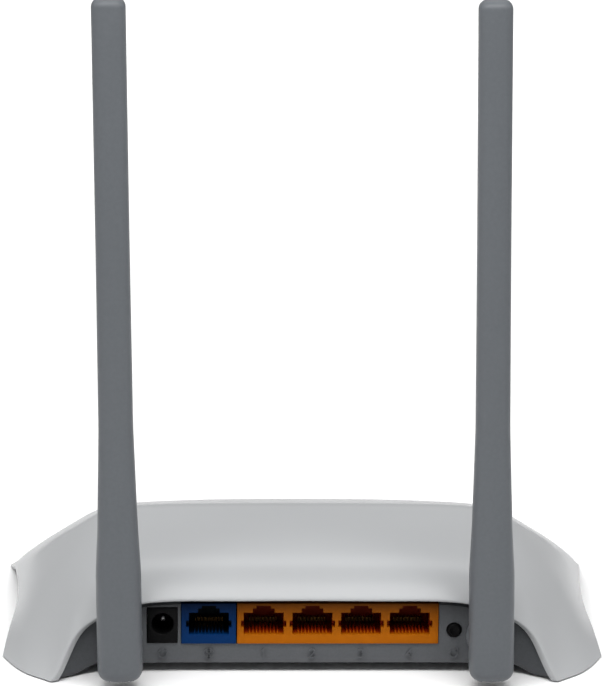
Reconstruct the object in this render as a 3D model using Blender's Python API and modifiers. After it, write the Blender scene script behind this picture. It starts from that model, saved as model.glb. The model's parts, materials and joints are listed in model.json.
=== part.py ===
"""Desktop wireless router with two folding antennas, built as an assembly of separate pieces.

Run with: blender --background --python part.py

Lengths are written in millimetres and turned into metres by the helper functions. A place is given as
(x, forward, up): x to the right seen from behind, forward from the rear foot line towards the front edge,
and up from the table. The world's +Y is forward and the origin is the middle of the object's footprint.
"""

import math

import bmesh
import bpy
import numpy as np
from mathutils import Matrix, Vector

MM = 0.001
GAP = 0.3                 # clearance between neighbouring pieces
TABLE_CLEARANCE = 0.5     # hard plastic stays this far above the table
ROUND = 24                # sides of a round piece
SMALL_ROUND = 12          # sides of a small round piece

# --- Antennas, which set the height of the object and its rearmost point ---
ANTENNA_X = 53.2          # distance of each swivel from the middle
ANTENNA_LEANS = (math.radians(0.7), math.radians(0.95))     # left and right, both towards the power socket
ANTENNA_TOP = 198.5
ANTENNA_BOTTOM = 2.7
PIVOT_UP = 11.7           # height of both hinge axes
PIN_FORWARD = -3.0        # the hinge pin sits behind the rear foot line
TAIL_HALF_DEPTH = 5.6
TIP_HALF_DEPTH = 3.9
# Height, half width and half depth of the antenna where its taper changes.
TAPER = (
    (35.0, 6.45, TAIL_HALF_DEPTH),
    (48.0, 5.75, 5.0),
    (77.0, 4.9, TIP_HALF_DEPTH),
    (125.0, 4.75, TIP_HALF_DEPTH),
)
TAIL_ROUNDING = 3.5
TIP_ROUNDING = 2.6
SECTION_POWER = 2.8       # squareness of the antenna's section, 2 being an ellipse
PIN_RADIUS = 1.1
PIN_HALF_LENGTH = 5.0
TONGUE_HALF_WIDTH = 2.5
TONGUE_RADIUS = 3.75
RADIATOR_HALF_WIDTH = 1.8
RADIATOR_HALF_THICKNESS = 0.4
RADIATOR_ENDS = (60.0, 186.0)
CHANNEL_HALF_WIDTH = 2.6
CHANNEL_HALF_DEPTH = 2.1
CHANNEL_TOP = 190.0

# --- Body ---
BODY_FRONT = 128.0
BODY_REAR = PIN_FORWARD - TAIL_HALF_DEPTH
MIDDLE_FORWARD = (BODY_FRONT + BODY_REAR) / 2
SHELL_THICKNESS = 2.0
SHELL_GAP = 0.7           # the base stays this far below the shell, measured square to its surface
BASE_WALL = 1.8
BELLY = 3.0               # underside of the base in the middle
FLOOR_TOP = BELLY + BASE_WALL
LEG_BOTTOM = 0.6          # underside of the base at its four legs
PANEL_FORWARD = 10.0      # outer face of the rear panel

# Top shell: cross sections from the rear edge to the front edge. Each runs from the middle of the body
# out to its side edge, and the shell's surface passes through every point.
SHELL_SECTIONS = (
    ((0, 8, 22.2), (24.1, 8, 22.1), (46.1, 7.8, 21.5), (59.2, 7.2, 17.8),
     (67.2, 4.8, 11.5), (73.2, 1.2, 0.5), (80.8, 7.8, 0), (88.8, 22.4, 0)),
    ((0, 20, 31.2), (24.1, 20, 31.1), (46.2, 20, 30.2), (59.2, 20.5, 27.3),
     (67.7, 21, 22.7), (75.2, 23, 15.7), (81.8, 27, 9.3), (87.5, 37, 4.5)),
    ((0, 42, 34.1), (24.1, 42, 33.9), (46.2, 42, 33), (59.2, 42.5, 30.8),
     (68.2, 43, 26.9), (76, 44.5, 20.9), (82, 47, 14.3), (86.1, 50, 7.9)),
    ((0, 64, 35.2), (24.1, 64, 35.1), (46.1, 64, 34.7), (59.2, 64.5, 32.7),
     (68.2, 65, 27.9), (76.2, 66, 22.6), (82.6, 67, 16.2), (86.7, 67, 9.1)),
    ((0, 94, 27.8), (24.1, 94, 27.6), (46.1, 94, 26.6), (60.2, 93.5, 24.9),
     (69.2, 93, 20.7), (77.2, 92, 16), (85, 90, 11.5), (89.1, 88, 7.2)),
    ((0, 128, 13.5), (24.1, 127.6, 13), (46.1, 126.4, 11), (59.1, 124.6, 8.6),
     (67.2, 123.6, 5), (74.8, 125.6, 0.4), (85.1, 121.5, 0), (92, 111.8, 0.4)),
)
RIDGE_ROW = 3             # the shell has a crease along this section

# Right half of the base's outline, seen from above, from the middle of the rear panel to the front.
BASE_HALF_OUTLINE = (
    (60, 10), (64, 8.3), (68, 6), (71.5, 3.6), (76, 8), (80, 16), (82, 26), (81, 42), (80.5, 60),
    (81, 80), (83, 98), (80, 111), (74, 118), (62, 119.5), (42, 121.5), (20, 122.6),
)
LEG_INNER_X = (59.5, 67.5)          # the belly slopes down to the legs between these
LEG_REAR_FORWARD = (24.0, 30.0)
LEG_FRONT_FORWARD = (98.0, 103.0)

# --- Sockets in the rear panel ---
JACK_BOTTOM = 8.9
JACK_TOP = 21.2
JACK_DEPTH = 15.0
WAN_X = (-35.8, -19.9)
WAN_PORT_X = -27.8
LAN_X = (-19.6, 38.9)
LAN_PORT_X = tuple(-11.9 + 14.14 * number for number in range(4))
PORT_DEPTH = 12.5
PORT_BOTTOM = 11.8
PORT_STEPS = ((5.8, 18.4), (3.15, 19.7), (2.1, 20.5))   # half width and top of each step of the opening
PORT_SIDE_NOTCH = (6.6, 13.9, 16.0, 3.0)                # half width, bottom, top and depth
CONTACT_COUNT = 8
CONTACT_PITCH = 1.02
CONTACT_RISE = 2.0
DC_X = (-45.7, -36.9)
DC_UP = (9.1, 19.8)
DC_HOLE = (-41.2, 15.0)
DC_HOLE_RADIUS = 3.15
DC_PIN_RADIUS = 1.0
DC_PIN_FORWARD = (14.7, 20.4)
WINDOW_TOP = 35.0         # the opening for the network sockets is cut up through the panel's top edge
BUTTON_X = 43.5
BUTTON_UP = 13.0
BUTTON_RADIUS = 2.0
BUTTON_TRAVEL = 0.6

# --- Antenna swivels, turned pieces held in round holes of the rear panel ---
FLANGE_RADIUS = 6.3
FLANGE_FORWARD = (7.4, PANEL_FORWARD - GAP)
NECK_RADIUS = 4.0
NECK_END = 15.6
CLIP_GROOVE = (12.1, 13.3)
CLIP_GROOVE_RADIUS = 3.2
CABLE_GROOVE_UP = 2.65
CABLE_GROOVE_RADIUS = 1.0

# --- Inside ---
BOARD_UP = (6.9, 8.5)
BOARD_OUTLINE = (
    (-46.3, 12.4), (46.3, 12.4), (46.3, 21), (49, 23), (58, 23.5), (58, 94), (45, 95),
    (42, 98), (42, 114), (-42, 114), (-42, 98), (-45, 95), (-58, 94), (-58, 23.5), (-49, 23), (-46.3, 21),
)
ON_BOARD = BOARD_UP[1] + GAP
POST_PLACES = ((-66, 34), (66, 34), (-66, 94), (66, 94))
POST_RADIUS = 3.5
BOSS_RADIUS = 4.2
BOSS_TOP = 6.6
SCREW_RADIUS = 1.3
SCREW_HEAD_RADIUS = 2.6
SCREW_TOP = 15.0
BOARD_SCREW_PLACES = ((-50, 70), (50, 70))
FOOT_PLACES = ((-73, 17), (73, 17), (-73, 109), (73, 109))
FOOT_RADIUS = 3.4
FOOT_TOP = 1.6
WINDOW_PLACES = tuple((8 * number, 112) for number in range(-3, 4))
WINDOW_RADIUS = 1.1

parts = bpy.data.collections.new("wireless_router")
cutters = bpy.data.collections.new("cutters")


# ---------------------------------------------------------------- helpers

def place(x, forward, up):
    """World position in metres."""
    return Vector((x, forward - MIDDLE_FORWARD, up)) * MM


def material(name, colour, roughness, metallic=0.0):
    made = bpy.data.materials.new(name)
    made.use_nodes = True
    shader = made.node_tree.nodes["Principled BSDF"]
    shader.inputs["Base Color"].default_value = (*colour, 1.0)
    shader.inputs["Roughness"].default_value = roughness
    shader.inputs["Metallic"].default_value = metallic
    made.diffuse_color = (*colour, 1.0)
    return made


def add(name, mesh, finish=None):
    """Puts a mesh in the parts, or in the cutters where it has no finish."""
    made = bpy.data.objects.new(name, mesh)
    if finish is None:
        cutters.objects.link(made)
        made.hide_render = True
        made.display_type = "WIRE"
    else:
        parts.objects.link(made)
        mesh.materials.append(finish)
    return made


def mesh_from(name, shape):
    mesh = bpy.data.meshes.new(name)
    shape.to_mesh(mesh)
    shape.free()
    return mesh


def box(name, x, forward, up, finish=None, rounding=0.0):
    """Box between the low and high value of each direction."""
    shape = bmesh.new()
    bmesh.ops.create_cube(shape, size=1.0)
    low = place(x[0], forward[0], up[0])
    high = place(x[1], forward[1], up[1])
    size = high - low
    bmesh.ops.scale(shape, vec=size, verts=shape.verts)
    bmesh.ops.translate(shape, vec=(low + high) / 2, verts=shape.verts)
    made = add(name, mesh_from(name, shape), finish)
    if rounding:
        bevel = made.modifiers.new("rounding", "BEVEL")
        bevel.width = rounding * MM
        bevel.segments = 2
    return made


def rod(name, radius, start, length, along="Z", finish=None, sides=ROUND):
    """Cylinder from a start point along +X, +Y (forward) or +Z."""
    shape = bmesh.new()
    bmesh.ops.create_cone(shape, cap_ends=True, segments=sides, radius1=radius * MM,
                          radius2=radius * MM, depth=length * MM)
    bmesh.ops.translate(shape, vec=(0, 0, length * MM / 2), verts=shape.verts)
    shape.transform(Matrix.Translation(place(*start)) @ turn_to(along))
    made = mesh_from(name, shape)
    made.shade_smooth()
    made.set_sharp_from_angle(angle=math.radians(40))
    return add(name, made, finish)


def turn_to(along):
    """Turns a shape that stands along +Z."""
    if along == "X":
        return Matrix.Rotation(math.radians(90), 4, "Y")
    if along == "Y":
        return Matrix.Rotation(math.radians(-90), 4, "X")
    return Matrix.Identity(4)


def prism(name, outline, low, high, across="Z", finish=None):
    """Flat outline with a thickness: (x, forward) across Z, (x, up) across Y or (forward, up) across X."""
    curve = bpy.data.curves.new(name, "CURVE")
    curve.dimensions = "2D"
    curve.fill_mode = "BOTH"
    curve.extrude = (high - low) / 2 * MM
    spline = curve.splines.new("POLY")
    spline.points.add(len(outline) - 1)
    spline.use_cyclic_u = True
    for point, (first, second) in zip(spline.points, outline):
        point.co = (first * MM, second * MM, 0, 1)
    middle = (low + high) / 2
    shift = -MIDDLE_FORWARD * MM
    if across == "Z":
        frame = Matrix.Translation((0, shift, middle * MM))
    elif across == "Y":
        frame = Matrix.Translation((0, middle * MM + shift, 0)) @ Matrix.Rotation(math.radians(90), 4, "X")
    else:
        turned = Matrix(((0, 0, 1, 0), (1, 0, 0, 0), (0, 1, 0, 0), (0, 0, 0, 1)))
        frame = Matrix.Translation((middle * MM, shift, 0)) @ turned
    made = add(name, mesh_of_curve(curve), finish)
    made.data.transform(frame)
    return made


def mesh_of_curve(curve):
    """Mesh of a curve, with its loose caps welded on."""
    holder = bpy.data.objects.new(curve.name, curve)
    bpy.context.scene.collection.objects.link(holder)
    evaluated = holder.evaluated_get(bpy.context.evaluated_depsgraph_get())
    mesh = bpy.data.meshes.new_from_object(evaluated)
    shape = bmesh.new()
    shape.from_mesh(mesh)
    bmesh.ops.remove_doubles(shape, verts=shape.verts, dist=0.01 * MM)
    bmesh.ops.recalc_face_normals(shape, faces=shape.faces)
    shape.to_mesh(mesh)
    shape.free()
    bpy.data.objects.remove(holder)
    return mesh


def turned(name, profile, centre, finish=None):
    """Turned piece about a forward axis, from a (forward, radius) profile that starts at the front end."""
    mesh = bpy.data.meshes.new(name)
    points = [(radius * MM, 0, forward * MM) for forward, radius in profile]
    mesh.from_pydata(points, [(i, i + 1) for i in range(len(points) - 1)], [])
    made = add(name, mesh, finish)
    made.matrix_world = Matrix.Translation(place(centre[0], 0, centre[1])) @ turn_to("Y")
    screw = made.modifiers.new("turn", "SCREW")
    screw.steps = ROUND
    screw.render_steps = ROUND
    screw.use_merge_vertices = True
    screw.merge_threshold = 0.01 * MM
    return made


def boolean(target, tool, operation):
    step = target.modifiers.new(f"{operation.lower()} {tool.name}", "BOOLEAN")
    step.object = tool
    step.operation = operation
    step.solver = "EXACT"
    return target


def cut(target, *tools):
    for tool in tools:
        boolean(target, tool, "DIFFERENCE")
    return target


def join(target, *tools):
    for tool in tools:
        boolean(target, tool, "UNION")
    return target


def keep_inside(target, tool):
    return boolean(target, tool, "INTERSECT")


def inset(outline, distance):
    """Closed outline, listed anticlockwise, moved inwards by a distance."""
    moved = []
    for i, point in enumerate(outline):
        before = Vector(point) - Vector(outline[i - 1])
        after = Vector(outline[(i + 1) % len(outline)]) - Vector(point)
        before.normalize()
        after.normalize()
        inward = Vector((-before.y - after.y, before.x + after.x)).normalized()
        reach = distance / max(0.3, inward.dot(Vector((-before.y, before.x))))
        moved.append(tuple(Vector(point) + inward * reach))
    return moved


def both_halves(half):
    """Full outline, anticlockwise, from the points of its right half."""
    return [*half, *((-x, forward) for x, forward in reversed(half))]


def empty(name, x, forward, up, parent=None):
    made = bpy.data.objects.new(name, None)
    parts.objects.link(made)
    made.empty_display_size = 5 * MM
    world = place(x, forward, up)
    if parent is not None:
        made.parent = parent
        world = world - place(x, parent_forward(parent), up)
    made.location = world
    return made


def parent_forward(parent):
    return parent.location.y / MM + MIDDLE_FORWARD


def carry(holder, world, *pieces):
    """Parents pieces and their cutters, made in world coordinates, to an empty at the world position."""
    for piece in pieces:
        for carried in (piece, *(step.object for step in piece.modifiers if step.type == "BOOLEAN")):
            carried.parent = holder
            carried.matrix_parent_inverse = Matrix.Translation(-world)


# ---------------------------------------------------------------- shell surface

def spline_solver(count, creased=()):
    """Inverse of the cubic B-spline's weights, so that a control net can be found from surface points."""
    weights = np.eye(count)
    for i in range(1, count - 1):
        if i not in creased:
            weights[i, i - 1:i + 2] = (1 / 6, 4 / 6, 1 / 6)
    return np.linalg.inv(weights)


def shell_cage():
    """Control net of the top shell: a sheet subdivided from it passes through SHELL_SECTIONS."""
    half = np.array(SHELL_SECTIONS, float)
    other = half[:, :0:-1] * (-1, 1, 1)
    points = np.concatenate([other, half], axis=1)
    rows, columns = points.shape[:2]
    return np.einsum("ij,jkc,lk->ilc", spline_solver(rows, (RIDGE_ROW,)), points, spline_solver(columns))


def shell_sheet(name, finish=None):
    """The shell's outer surface as an open sheet with its faces up."""
    cage = shell_cage()
    rows, columns = cage.shape[:2]
    points = [place(*point) for point in cage.reshape(-1, 3)]
    faces = []
    for row in range(rows - 1):
        for column in range(columns - 1):
            first = row * columns + column
            faces.append((first, first + 1, first + columns + 1, first + columns))
    mesh = bpy.data.meshes.new(name)
    mesh.from_pydata(points, [], faces)
    creases = mesh.edge_creases_ensure()
    for edge in mesh.edges:
        if all(vertex // columns == RIDGE_ROW for vertex in edge.vertices):
            creases.data[edge.index].value = 1.0
    made = add(name, mesh, finish)
    smooth = made.modifiers.new("surface", "SUBSURF")
    smooth.levels = 1
    smooth.render_levels = 1
    smooth.boundary_smooth = "PRESERVE_CORNERS"
    return made


def space_under_shell(name, depth):
    """Solid that fills everything below the shell's outer surface moved inwards by a depth."""
    sheet = shell_sheet(name)
    parts_view = bpy.context.evaluated_depsgraph_get()
    mesh = bpy.data.meshes.new_from_object(sheet.evaluated_get(parts_view))
    shape = bmesh.new()
    shape.from_mesh(mesh)
    bpy.data.objects.remove(sheet)
    shape.normal_update()
    for vertex, normal in [(vertex, vertex.normal.copy()) for vertex in shape.verts]:
        vertex.co -= normal * depth * MM
    skirt = bmesh.ops.extrude_face_region(shape, geom=shape.faces[:])["geom"]
    for vertex in (item for item in skirt if isinstance(item, bmesh.types.BMVert)):
        vertex.co.z = -20 * MM
    bmesh.ops.recalc_face_normals(shape, faces=shape.faces)
    return add(name, mesh_from(name, shape))


# ---------------------------------------------------------------- housing

def top_shell(finish):
    shell = shell_sheet("top_shell", finish)
    wall = shell.modifiers.new("wall", "SOLIDIFY")
    wall.thickness = SHELL_THICKNESS * MM
    wall.offset = -1
    inside = space_under_shell("shell_middle", SHELL_THICKNESS / 2)
    for number, (x, forward) in enumerate(POST_PLACES, 1):
        post = rod(f"post_{number}", POST_RADIUS, (x, forward, BOSS_TOP + GAP), 30, sides=SMALL_ROUND)
        keep_inside(post, inside)
        join(shell, post)
        cut(shell, rod(f"post_hole_{number}", SCREW_RADIUS + GAP, (x, forward, 0), SCREW_TOP + 1,
                       sides=SMALL_ROUND))
    for number, (x, forward) in enumerate(WINDOW_PLACES, 1):
        cut(shell, rod(f"window_{number}", WINDOW_RADIUS, (x, forward, 5), 30, sides=SMALL_ROUND))
    return cut(shell, box("table", (-120, 120), (-40, 160), (-30, TABLE_CLEARANCE)))


def base_shell(finish):
    outline = both_halves(BASE_HALF_OUTLINE)
    base = prism("base_shell", outline, LEG_BOTTOM, 40, finish=finish)
    keep_inside(base, space_under_shell("base_room", SHELL_THICKNESS + SHELL_GAP))
    cut(base, prism("base_hollow", inset(outline, BASE_WALL), FLOOR_TOP, 41))
    cut_belly(base)
    cut_rear_panel(base)
    cut_floor(base)
    for number, (x, forward) in enumerate(POST_PLACES, 1):
        join(base, rod(f"boss_{number}", BOSS_RADIUS, (x, forward, BELLY + 0.4), BOSS_TOP - BELLY - 0.4))
        cut(base, rod(f"head_recess_{number}", SCREW_HEAD_RADIUS + GAP, (x, forward, 0), BELLY + 2.2))
        cut(base, rod(f"boss_hole_{number}", SCREW_RADIUS + GAP, (x, forward, 0), 10, sides=SMALL_ROUND))
    for number, (x, forward) in enumerate(BOARD_SCREW_PLACES, 1):
        join(base, rod(f"pillar_{number}", 3, (x, forward, BELLY + 0.4), BOSS_TOP - BELLY - 0.4))
        cut(base, rod(f"pillar_hole_{number}", SCREW_RADIUS + GAP, (x, forward, FLOOR_TOP), 5,
                      sides=SMALL_ROUND))
    return base


def cut_belly(base):
    inner, outer = LEG_INNER_X
    below = -5
    across = [(-outer, LEG_BOTTOM), (-outer, below), (outer, below), (outer, LEG_BOTTOM),
              (inner, BELLY), (-inner, BELLY)]
    cut(base, prism("belly_across", across, -10, 140, across="Y"))
    rear_leg, rear_belly = LEG_REAR_FORWARD
    front_belly, front_leg = LEG_FRONT_FORWARD
    along = [(rear_leg, LEG_BOTTOM), (rear_leg, below), (front_leg, below), (front_leg, LEG_BOTTOM),
             (front_belly, BELLY), (rear_belly, BELLY)]
    cut(base, prism("belly_along", along, -100, 100, across="X"))
    for number, (x, forward) in enumerate(FOOT_PLACES, 1):
        cut(base, rod(f"foot_recess_{number}", FOOT_RADIUS + GAP, (x, forward, 0), FOOT_TOP + GAP))


def cut_rear_panel(base):
    through = (PANEL_FORWARD - 12, PANEL_FORWARD + BASE_WALL + 1.5)
    power_up = (DC_UP[0] - GAP, DC_UP[1] + GAP)
    cut(base, box("power_window", (DC_X[0] - GAP, DC_X[1] + GAP), through, power_up))
    network_up = (JACK_BOTTOM - GAP, WINDOW_TOP)
    cut(base, box("network_window", (WAN_X[0] - GAP, LAN_X[1] + GAP), through, network_up))
    length = through[1] - through[0]
    cut(base, rod("button_hole", BUTTON_RADIUS + GAP, (BUTTON_X, through[0], BUTTON_UP), length, "Y"))
    for side in (-1, 1):
        start = (side * ANTENNA_X, through[0], PIVOT_UP)
        cut(base, rod(f"swivel_hole_{side}", NECK_RADIUS + GAP, start, length, "Y"))


def cut_floor(base):
    for number in range(-4, 5):
        x = 8 * number
        cut(base, box(f"vent_{number}", (x - 1.3, x + 1.3), (32, 58), (0, FLOOR_TOP + 1)))
    for side in (-1, 1):
        x = 45 * side
        cut(base, rod(f"keyhole_{side}", 3.6, (x, 46, 0), FLOOR_TOP + 1, sides=SMALL_ROUND))
        cut(base, box(f"keyhole_slot_{side}", (x - 1.8, x + 1.8), (46, 56), (0, FLOOR_TOP + 1)))


def blank_label(finish):
    box("blank_label", (-28, 28), (72, 98), (BELLY - GAP - 0.25, BELLY - GAP), finish)


def rubber_feet(finish):
    for number, (x, forward) in enumerate(FOOT_PLACES, 1):
        rod(f"rubber_foot_{number}", FOOT_RADIUS, (x, forward, 0), FOOT_TOP, finish=finish)


def screw(name, x, forward, head, shank, finish):
    """Screw whose head and shank are each given by their low and high end."""
    made = rod(name, SCREW_HEAD_RADIUS, (x, forward, head[0]), head[1] - head[0], finish=finish,
               sides=SMALL_ROUND)
    join(made, rod(f"{name}_shank", SCREW_RADIUS, (x, forward, shank[0]), shank[1] - shank[0],
                   sides=SMALL_ROUND))
    face = head[0] if shank[1] > head[1] else head[1]
    for turned_by, (wide, long) in enumerate(((0.35, 1.6), (1.6, 0.35))):
        cut(made, box(f"{name}_recess_{turned_by}", (x - wide, x + wide), (forward - long, forward + long),
                      (face - 0.7, face + 0.7)))


def screws(finish):
    for number, (x, forward) in enumerate(POST_PLACES, 1):
        screw(f"housing_screw_{number}", x, forward, (3.3, 4.9), (4.2, SCREW_TOP), finish)
    for number, (x, forward) in enumerate(BOARD_SCREW_PLACES, 1):
        screw(f"board_screw_{number}", x, forward, (ON_BOARD, ON_BOARD + 1.5), (5.2, ON_BOARD + 0.5), finish)


# ---------------------------------------------------------------- sockets and button

def port_cutters(name, x):
    """Opening of one network socket: a stepped mouth with a shallow notch at each side."""
    start, end = PANEL_FORWARD - 2, PANEL_FORWARD + PORT_DEPTH
    outline = [(x - PORT_STEPS[0][0], PORT_BOTTOM), (x + PORT_STEPS[0][0], PORT_BOTTOM)]
    left = []
    for i, (half_width, top) in enumerate(PORT_STEPS):
        bottom = PORT_STEPS[i - 1][1] if i else top
        outline += [(x + half_width, bottom), (x + half_width, top)] if i else [(x + half_width, top)]
        left += [(x - half_width, bottom), (x - half_width, top)] if i else [(x - half_width, top)]
    mouth = prism(f"{name}_mouth", outline + left[::-1], start, end, across="Y")
    half_width, bottom, top, depth = PORT_SIDE_NOTCH
    notch = box(f"{name}_notch", (x - half_width, x + half_width), (start, PANEL_FORWARD + depth),
                (bottom, top))
    return mouth, notch


def contacts(name, x, finish):
    """Eight sprung contacts rising from a carrier at the back of a socket."""
    front, back = PANEL_FORWARD + 3, PANEL_FORWARD + PORT_DEPTH - GAP
    low = PORT_BOTTOM + GAP
    half = CONTACT_PITCH * CONTACT_COUNT / 2 + 0.4
    carrier = box(name, (x - half, x + half), (back - 1.6, back), (low, low + CONTACT_RISE), finish)
    for number in range(CONTACT_COUNT):
        middle = x + (number - (CONTACT_COUNT - 1) / 2) * CONTACT_PITCH
        finger = [(front, low), (front + 1, low), (back - 1, low + CONTACT_RISE - 0.6),
                  (back - 1, low + CONTACT_RISE - 0.1)]
        join(carrier, prism(f"{name}_{number}", finger, middle - 0.25, middle + 0.25, across="X"))


def network_sockets(blue, orange, gold):
    depth = (PANEL_FORWARD, PANEL_FORWARD + JACK_DEPTH)
    wan = box("wan_jack", WAN_X, depth, (JACK_BOTTOM, JACK_TOP), blue)
    cut(wan, *port_cutters("wan_port", WAN_PORT_X))
    contacts("wan_contacts", WAN_PORT_X, gold)
    lan = box("lan_jack_block", LAN_X, depth, (JACK_BOTTOM, JACK_TOP), orange)
    for number, x in enumerate(LAN_PORT_X, 1):
        cut(lan, *port_cutters(f"lan_port_{number}", x))
        contacts(f"lan_contacts_{number}", x, gold)


def power_socket(black, steel):
    x, up = DC_HOLE
    jack = box("power_jack", DC_X, (PANEL_FORWARD, PANEL_FORWARD + 13), DC_UP, black)
    cut(jack, rod("power_hole", DC_HOLE_RADIUS, (x, PANEL_FORWARD - 2, up), 13, "Y"))
    start, end = DC_PIN_FORWARD
    rod("power_jack_pin", DC_PIN_RADIUS, (x, start, up), end - start, "Y", steel, SMALL_ROUND)


def reset_button(black, grey):
    front_face = PANEL_FORWARD - 0.4
    flange = PANEL_FORWARD + BASE_WALL + GAP
    end = flange + 4.4
    plunger = turned("reset_button", ((end, 0), (end, 1.5), (flange + 1, 1.5), (flange + 1, 3), (flange, 3),
                                      (flange, BUTTON_RADIUS), (front_face, BUTTON_RADIUS), (front_face, 0)),
                     (BUTTON_X, BUTTON_UP), black)
    switch_face = end + BUTTON_TRAVEL + GAP
    switch = box("tact_switch", (BUTTON_X - 2.7, BUTTON_X + 2.7), (switch_face + 0.7, switch_face + 4.2),
                 (ON_BOARD, BUTTON_UP + 2.7), grey)
    join(switch, rod("tact_stem", 1.4, (BUTTON_X, switch_face, BUTTON_UP), 2, "Y", sides=SMALL_ROUND))
    return plunger


# ---------------------------------------------------------------- board

def main_board(finish):
    board = prism("main_board", BOARD_OUTLINE, *BOARD_UP, finish=finish)
    for number, (x, forward) in enumerate(BOARD_SCREW_PLACES, 1):
        cut(board, rod(f"board_hole_{number}", SCREW_RADIUS + GAP, (x, forward, 0), 20, sides=SMALL_ROUND))


def standing(name, middle, size, finish, rounding=0.0):
    """Component that stands on the board: the middle of its footprint and its width, depth and height."""
    (x, forward), (width, depth, height) = middle, size
    return box(name, (x - width / 2, x + width / 2), (forward - depth / 2, forward + depth / 2),
               (ON_BOARD, ON_BOARD + height), finish, rounding)


def components(black, steel, aluminium, ferrite):
    standing("processor", (0, 66), (15, 15, 1.4), black)
    standing("memory_chip", (22, 66), (14, 9, 1.2), black)
    standing("flash_chip", (22, 80), (6, 5, 1.6), black)
    standing("clock_crystal", (-14, 76), (8, 3.4, 3), steel, 0.6)
    standing("lan_transformer", (10, 33), (26, 9, 5.5), black)
    standing("wan_transformer", (-27, 33), (13, 9, 5.5), black)
    standing("power_inductor", (-36, 43), (8, 8, 4), ferrite, 0.8)
    lid = standing("radio_shield", (-22, 92), (26, 16, 4), steel)
    x, forward = -22, 92
    cut(lid, box("shield_hollow", (x - 12.5, x + 12.5), (forward - 7.5, forward + 7.5),
                 (ON_BOARD - 1, ON_BOARD + 3.5)))
    for number, place_on_board in enumerate(((-44, 30), (-50, 52), (-38, 54)), 1):
        rod(f"capacitor_{number}", 3.1, (*place_on_board, ON_BOARD), 8, finish=aluminium)


def light_guide(finish):
    """Clear bar on the board with a light pipe up to each window in the shell."""
    forward = WINDOW_PLACES[0][1]
    reach = WINDOW_PLACES[-1][0] + 3
    guide = box("light_guide", (-reach, reach), (forward - 1.6, forward + 1.6), (ON_BOARD, ON_BOARD + 2),
                finish)
    for number, (x, _) in enumerate(WINDOW_PLACES, 1):
        join(guide, rod(f"light_pipe_{number}", WINDOW_RADIUS - GAP, (x, forward, ON_BOARD + 1), 20,
                        sides=SMALL_ROUND))
    keep_inside(guide, space_under_shell("light_room", 0.1))


def antenna_cable(side, name, finish):
    """Thin coaxial lead from the swivel's neck to its solder point on the board."""
    ends_and_bends = ((side * ANTENNA_X, NECK_END + 0.6, PIVOT_UP), (side * ANTENNA_X, 19, PIVOT_UP),
                      (side * 51, 26, 10.8), (side * 47, 38, 10), (side * 42, 62, 9.9),
                      (side * 37, 74, 9.9), (side * 33, 82, 9.9))
    curve = bpy.data.curves.new(name, "CURVE")
    curve.dimensions = "3D"
    curve.bevel_depth = 0.7 * MM
    curve.bevel_resolution = 2
    curve.use_fill_caps = True
    path = smooth_path([place(*point) for point in ends_and_bends], 3)
    spline = curve.splines.new("POLY")
    spline.points.add(len(path) - 1)
    for point, position in zip(spline.points, path):
        point.co = (*position, 1)
    add(name, mesh_of_curve(curve), finish)


def smooth_path(points, pieces):
    """Catmull-Rom curve through the points."""
    padded = [2 * points[0] - points[1], *points, 2 * points[-1] - points[-2]]
    path = []
    for a, b, c, d in zip(padded, padded[1:], padded[2:], padded[3:]):
        for step in range(pieces):
            t = step / pieces
            path.append(0.5 * (2 * b + (c - a) * t + (2 * a - 5 * b + 4 * c - d) * t ** 2
                               + (3 * b - a - 3 * c + d) * t ** 3))
    path.append(points[-1])
    return path


# ---------------------------------------------------------------- antennas

def antenna_half_sizes(up):
    """Half width and half depth of an antenna at a height, without its rounded ends."""
    if up <= TAPER[0][0]:
        return TAPER[0][1:]
    for (low, *wide), (high, *narrow) in zip(TAPER, TAPER[1:]):
        if up <= high:
            share = (up - low) / (high - low)
            return tuple(start + (end - start) * share for start, end in zip(wide, narrow))
    return TAPER[-1][1:]


def antenna_rings():
    """Heights of the antenna's rings with the amount that its rounded ends draw them in."""
    rings = []
    for step in (0.15, 0.5, 1.0):
        angle = math.radians(90) * step
        rings.append((ANTENNA_BOTTOM + TAIL_ROUNDING * (1 - math.cos(angle)),
                      TAIL_ROUNDING * (1 - math.sin(angle))))
    rings += [(up, 0.0) for up in (20, 35, 41, 48, 62, 77, 125, 160)]
    for step in (1.0, 0.5, 0.15):
        angle = math.radians(90) * step
        rings.append((ANTENNA_TOP - TIP_ROUNDING * (1 - math.cos(angle)),
                      TIP_ROUNDING * (1 - math.sin(angle))))
    rings[0] = (ANTENNA_BOTTOM, rings[0][1])
    rings[-1] = (ANTENNA_TOP, rings[-1][1])
    return rings


def antenna_blank(name, side, finish=None):
    """Outer form of an antenna: a cylinder cut into rings, each ring then drawn to its own section."""
    rings = antenna_rings()
    shape = bmesh.new()
    bmesh.ops.create_cone(shape, cap_ends=True, segments=ROUND, radius1=1, radius2=1, depth=len(rings) - 1)
    bmesh.ops.translate(shape, vec=(0, 0, (len(rings) - 1) / 2), verts=shape.verts)
    for number in range(1, len(rings) - 1):
        bmesh.ops.bisect_plane(shape, geom=shape.verts[:] + shape.edges[:] + shape.faces[:],
                               plane_co=(0, 0, number), plane_no=(0, 0, 1))
    for vertex in shape.verts:
        up, drawn_in = rings[round(vertex.co.z)]
        half_width, half_depth = (size - drawn_in for size in antenna_half_sizes(up))
        across, along = (math.copysign(abs(value) ** (2 / SECTION_POWER), value) for value in vertex.co.xy)
        vertex.co = place(side * ANTENNA_X + half_width * across, PIN_FORWARD + half_depth * along, up)
    mesh = mesh_from(name, shape)
    mesh.shade_smooth()
    return add(name, mesh, finish)


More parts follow.
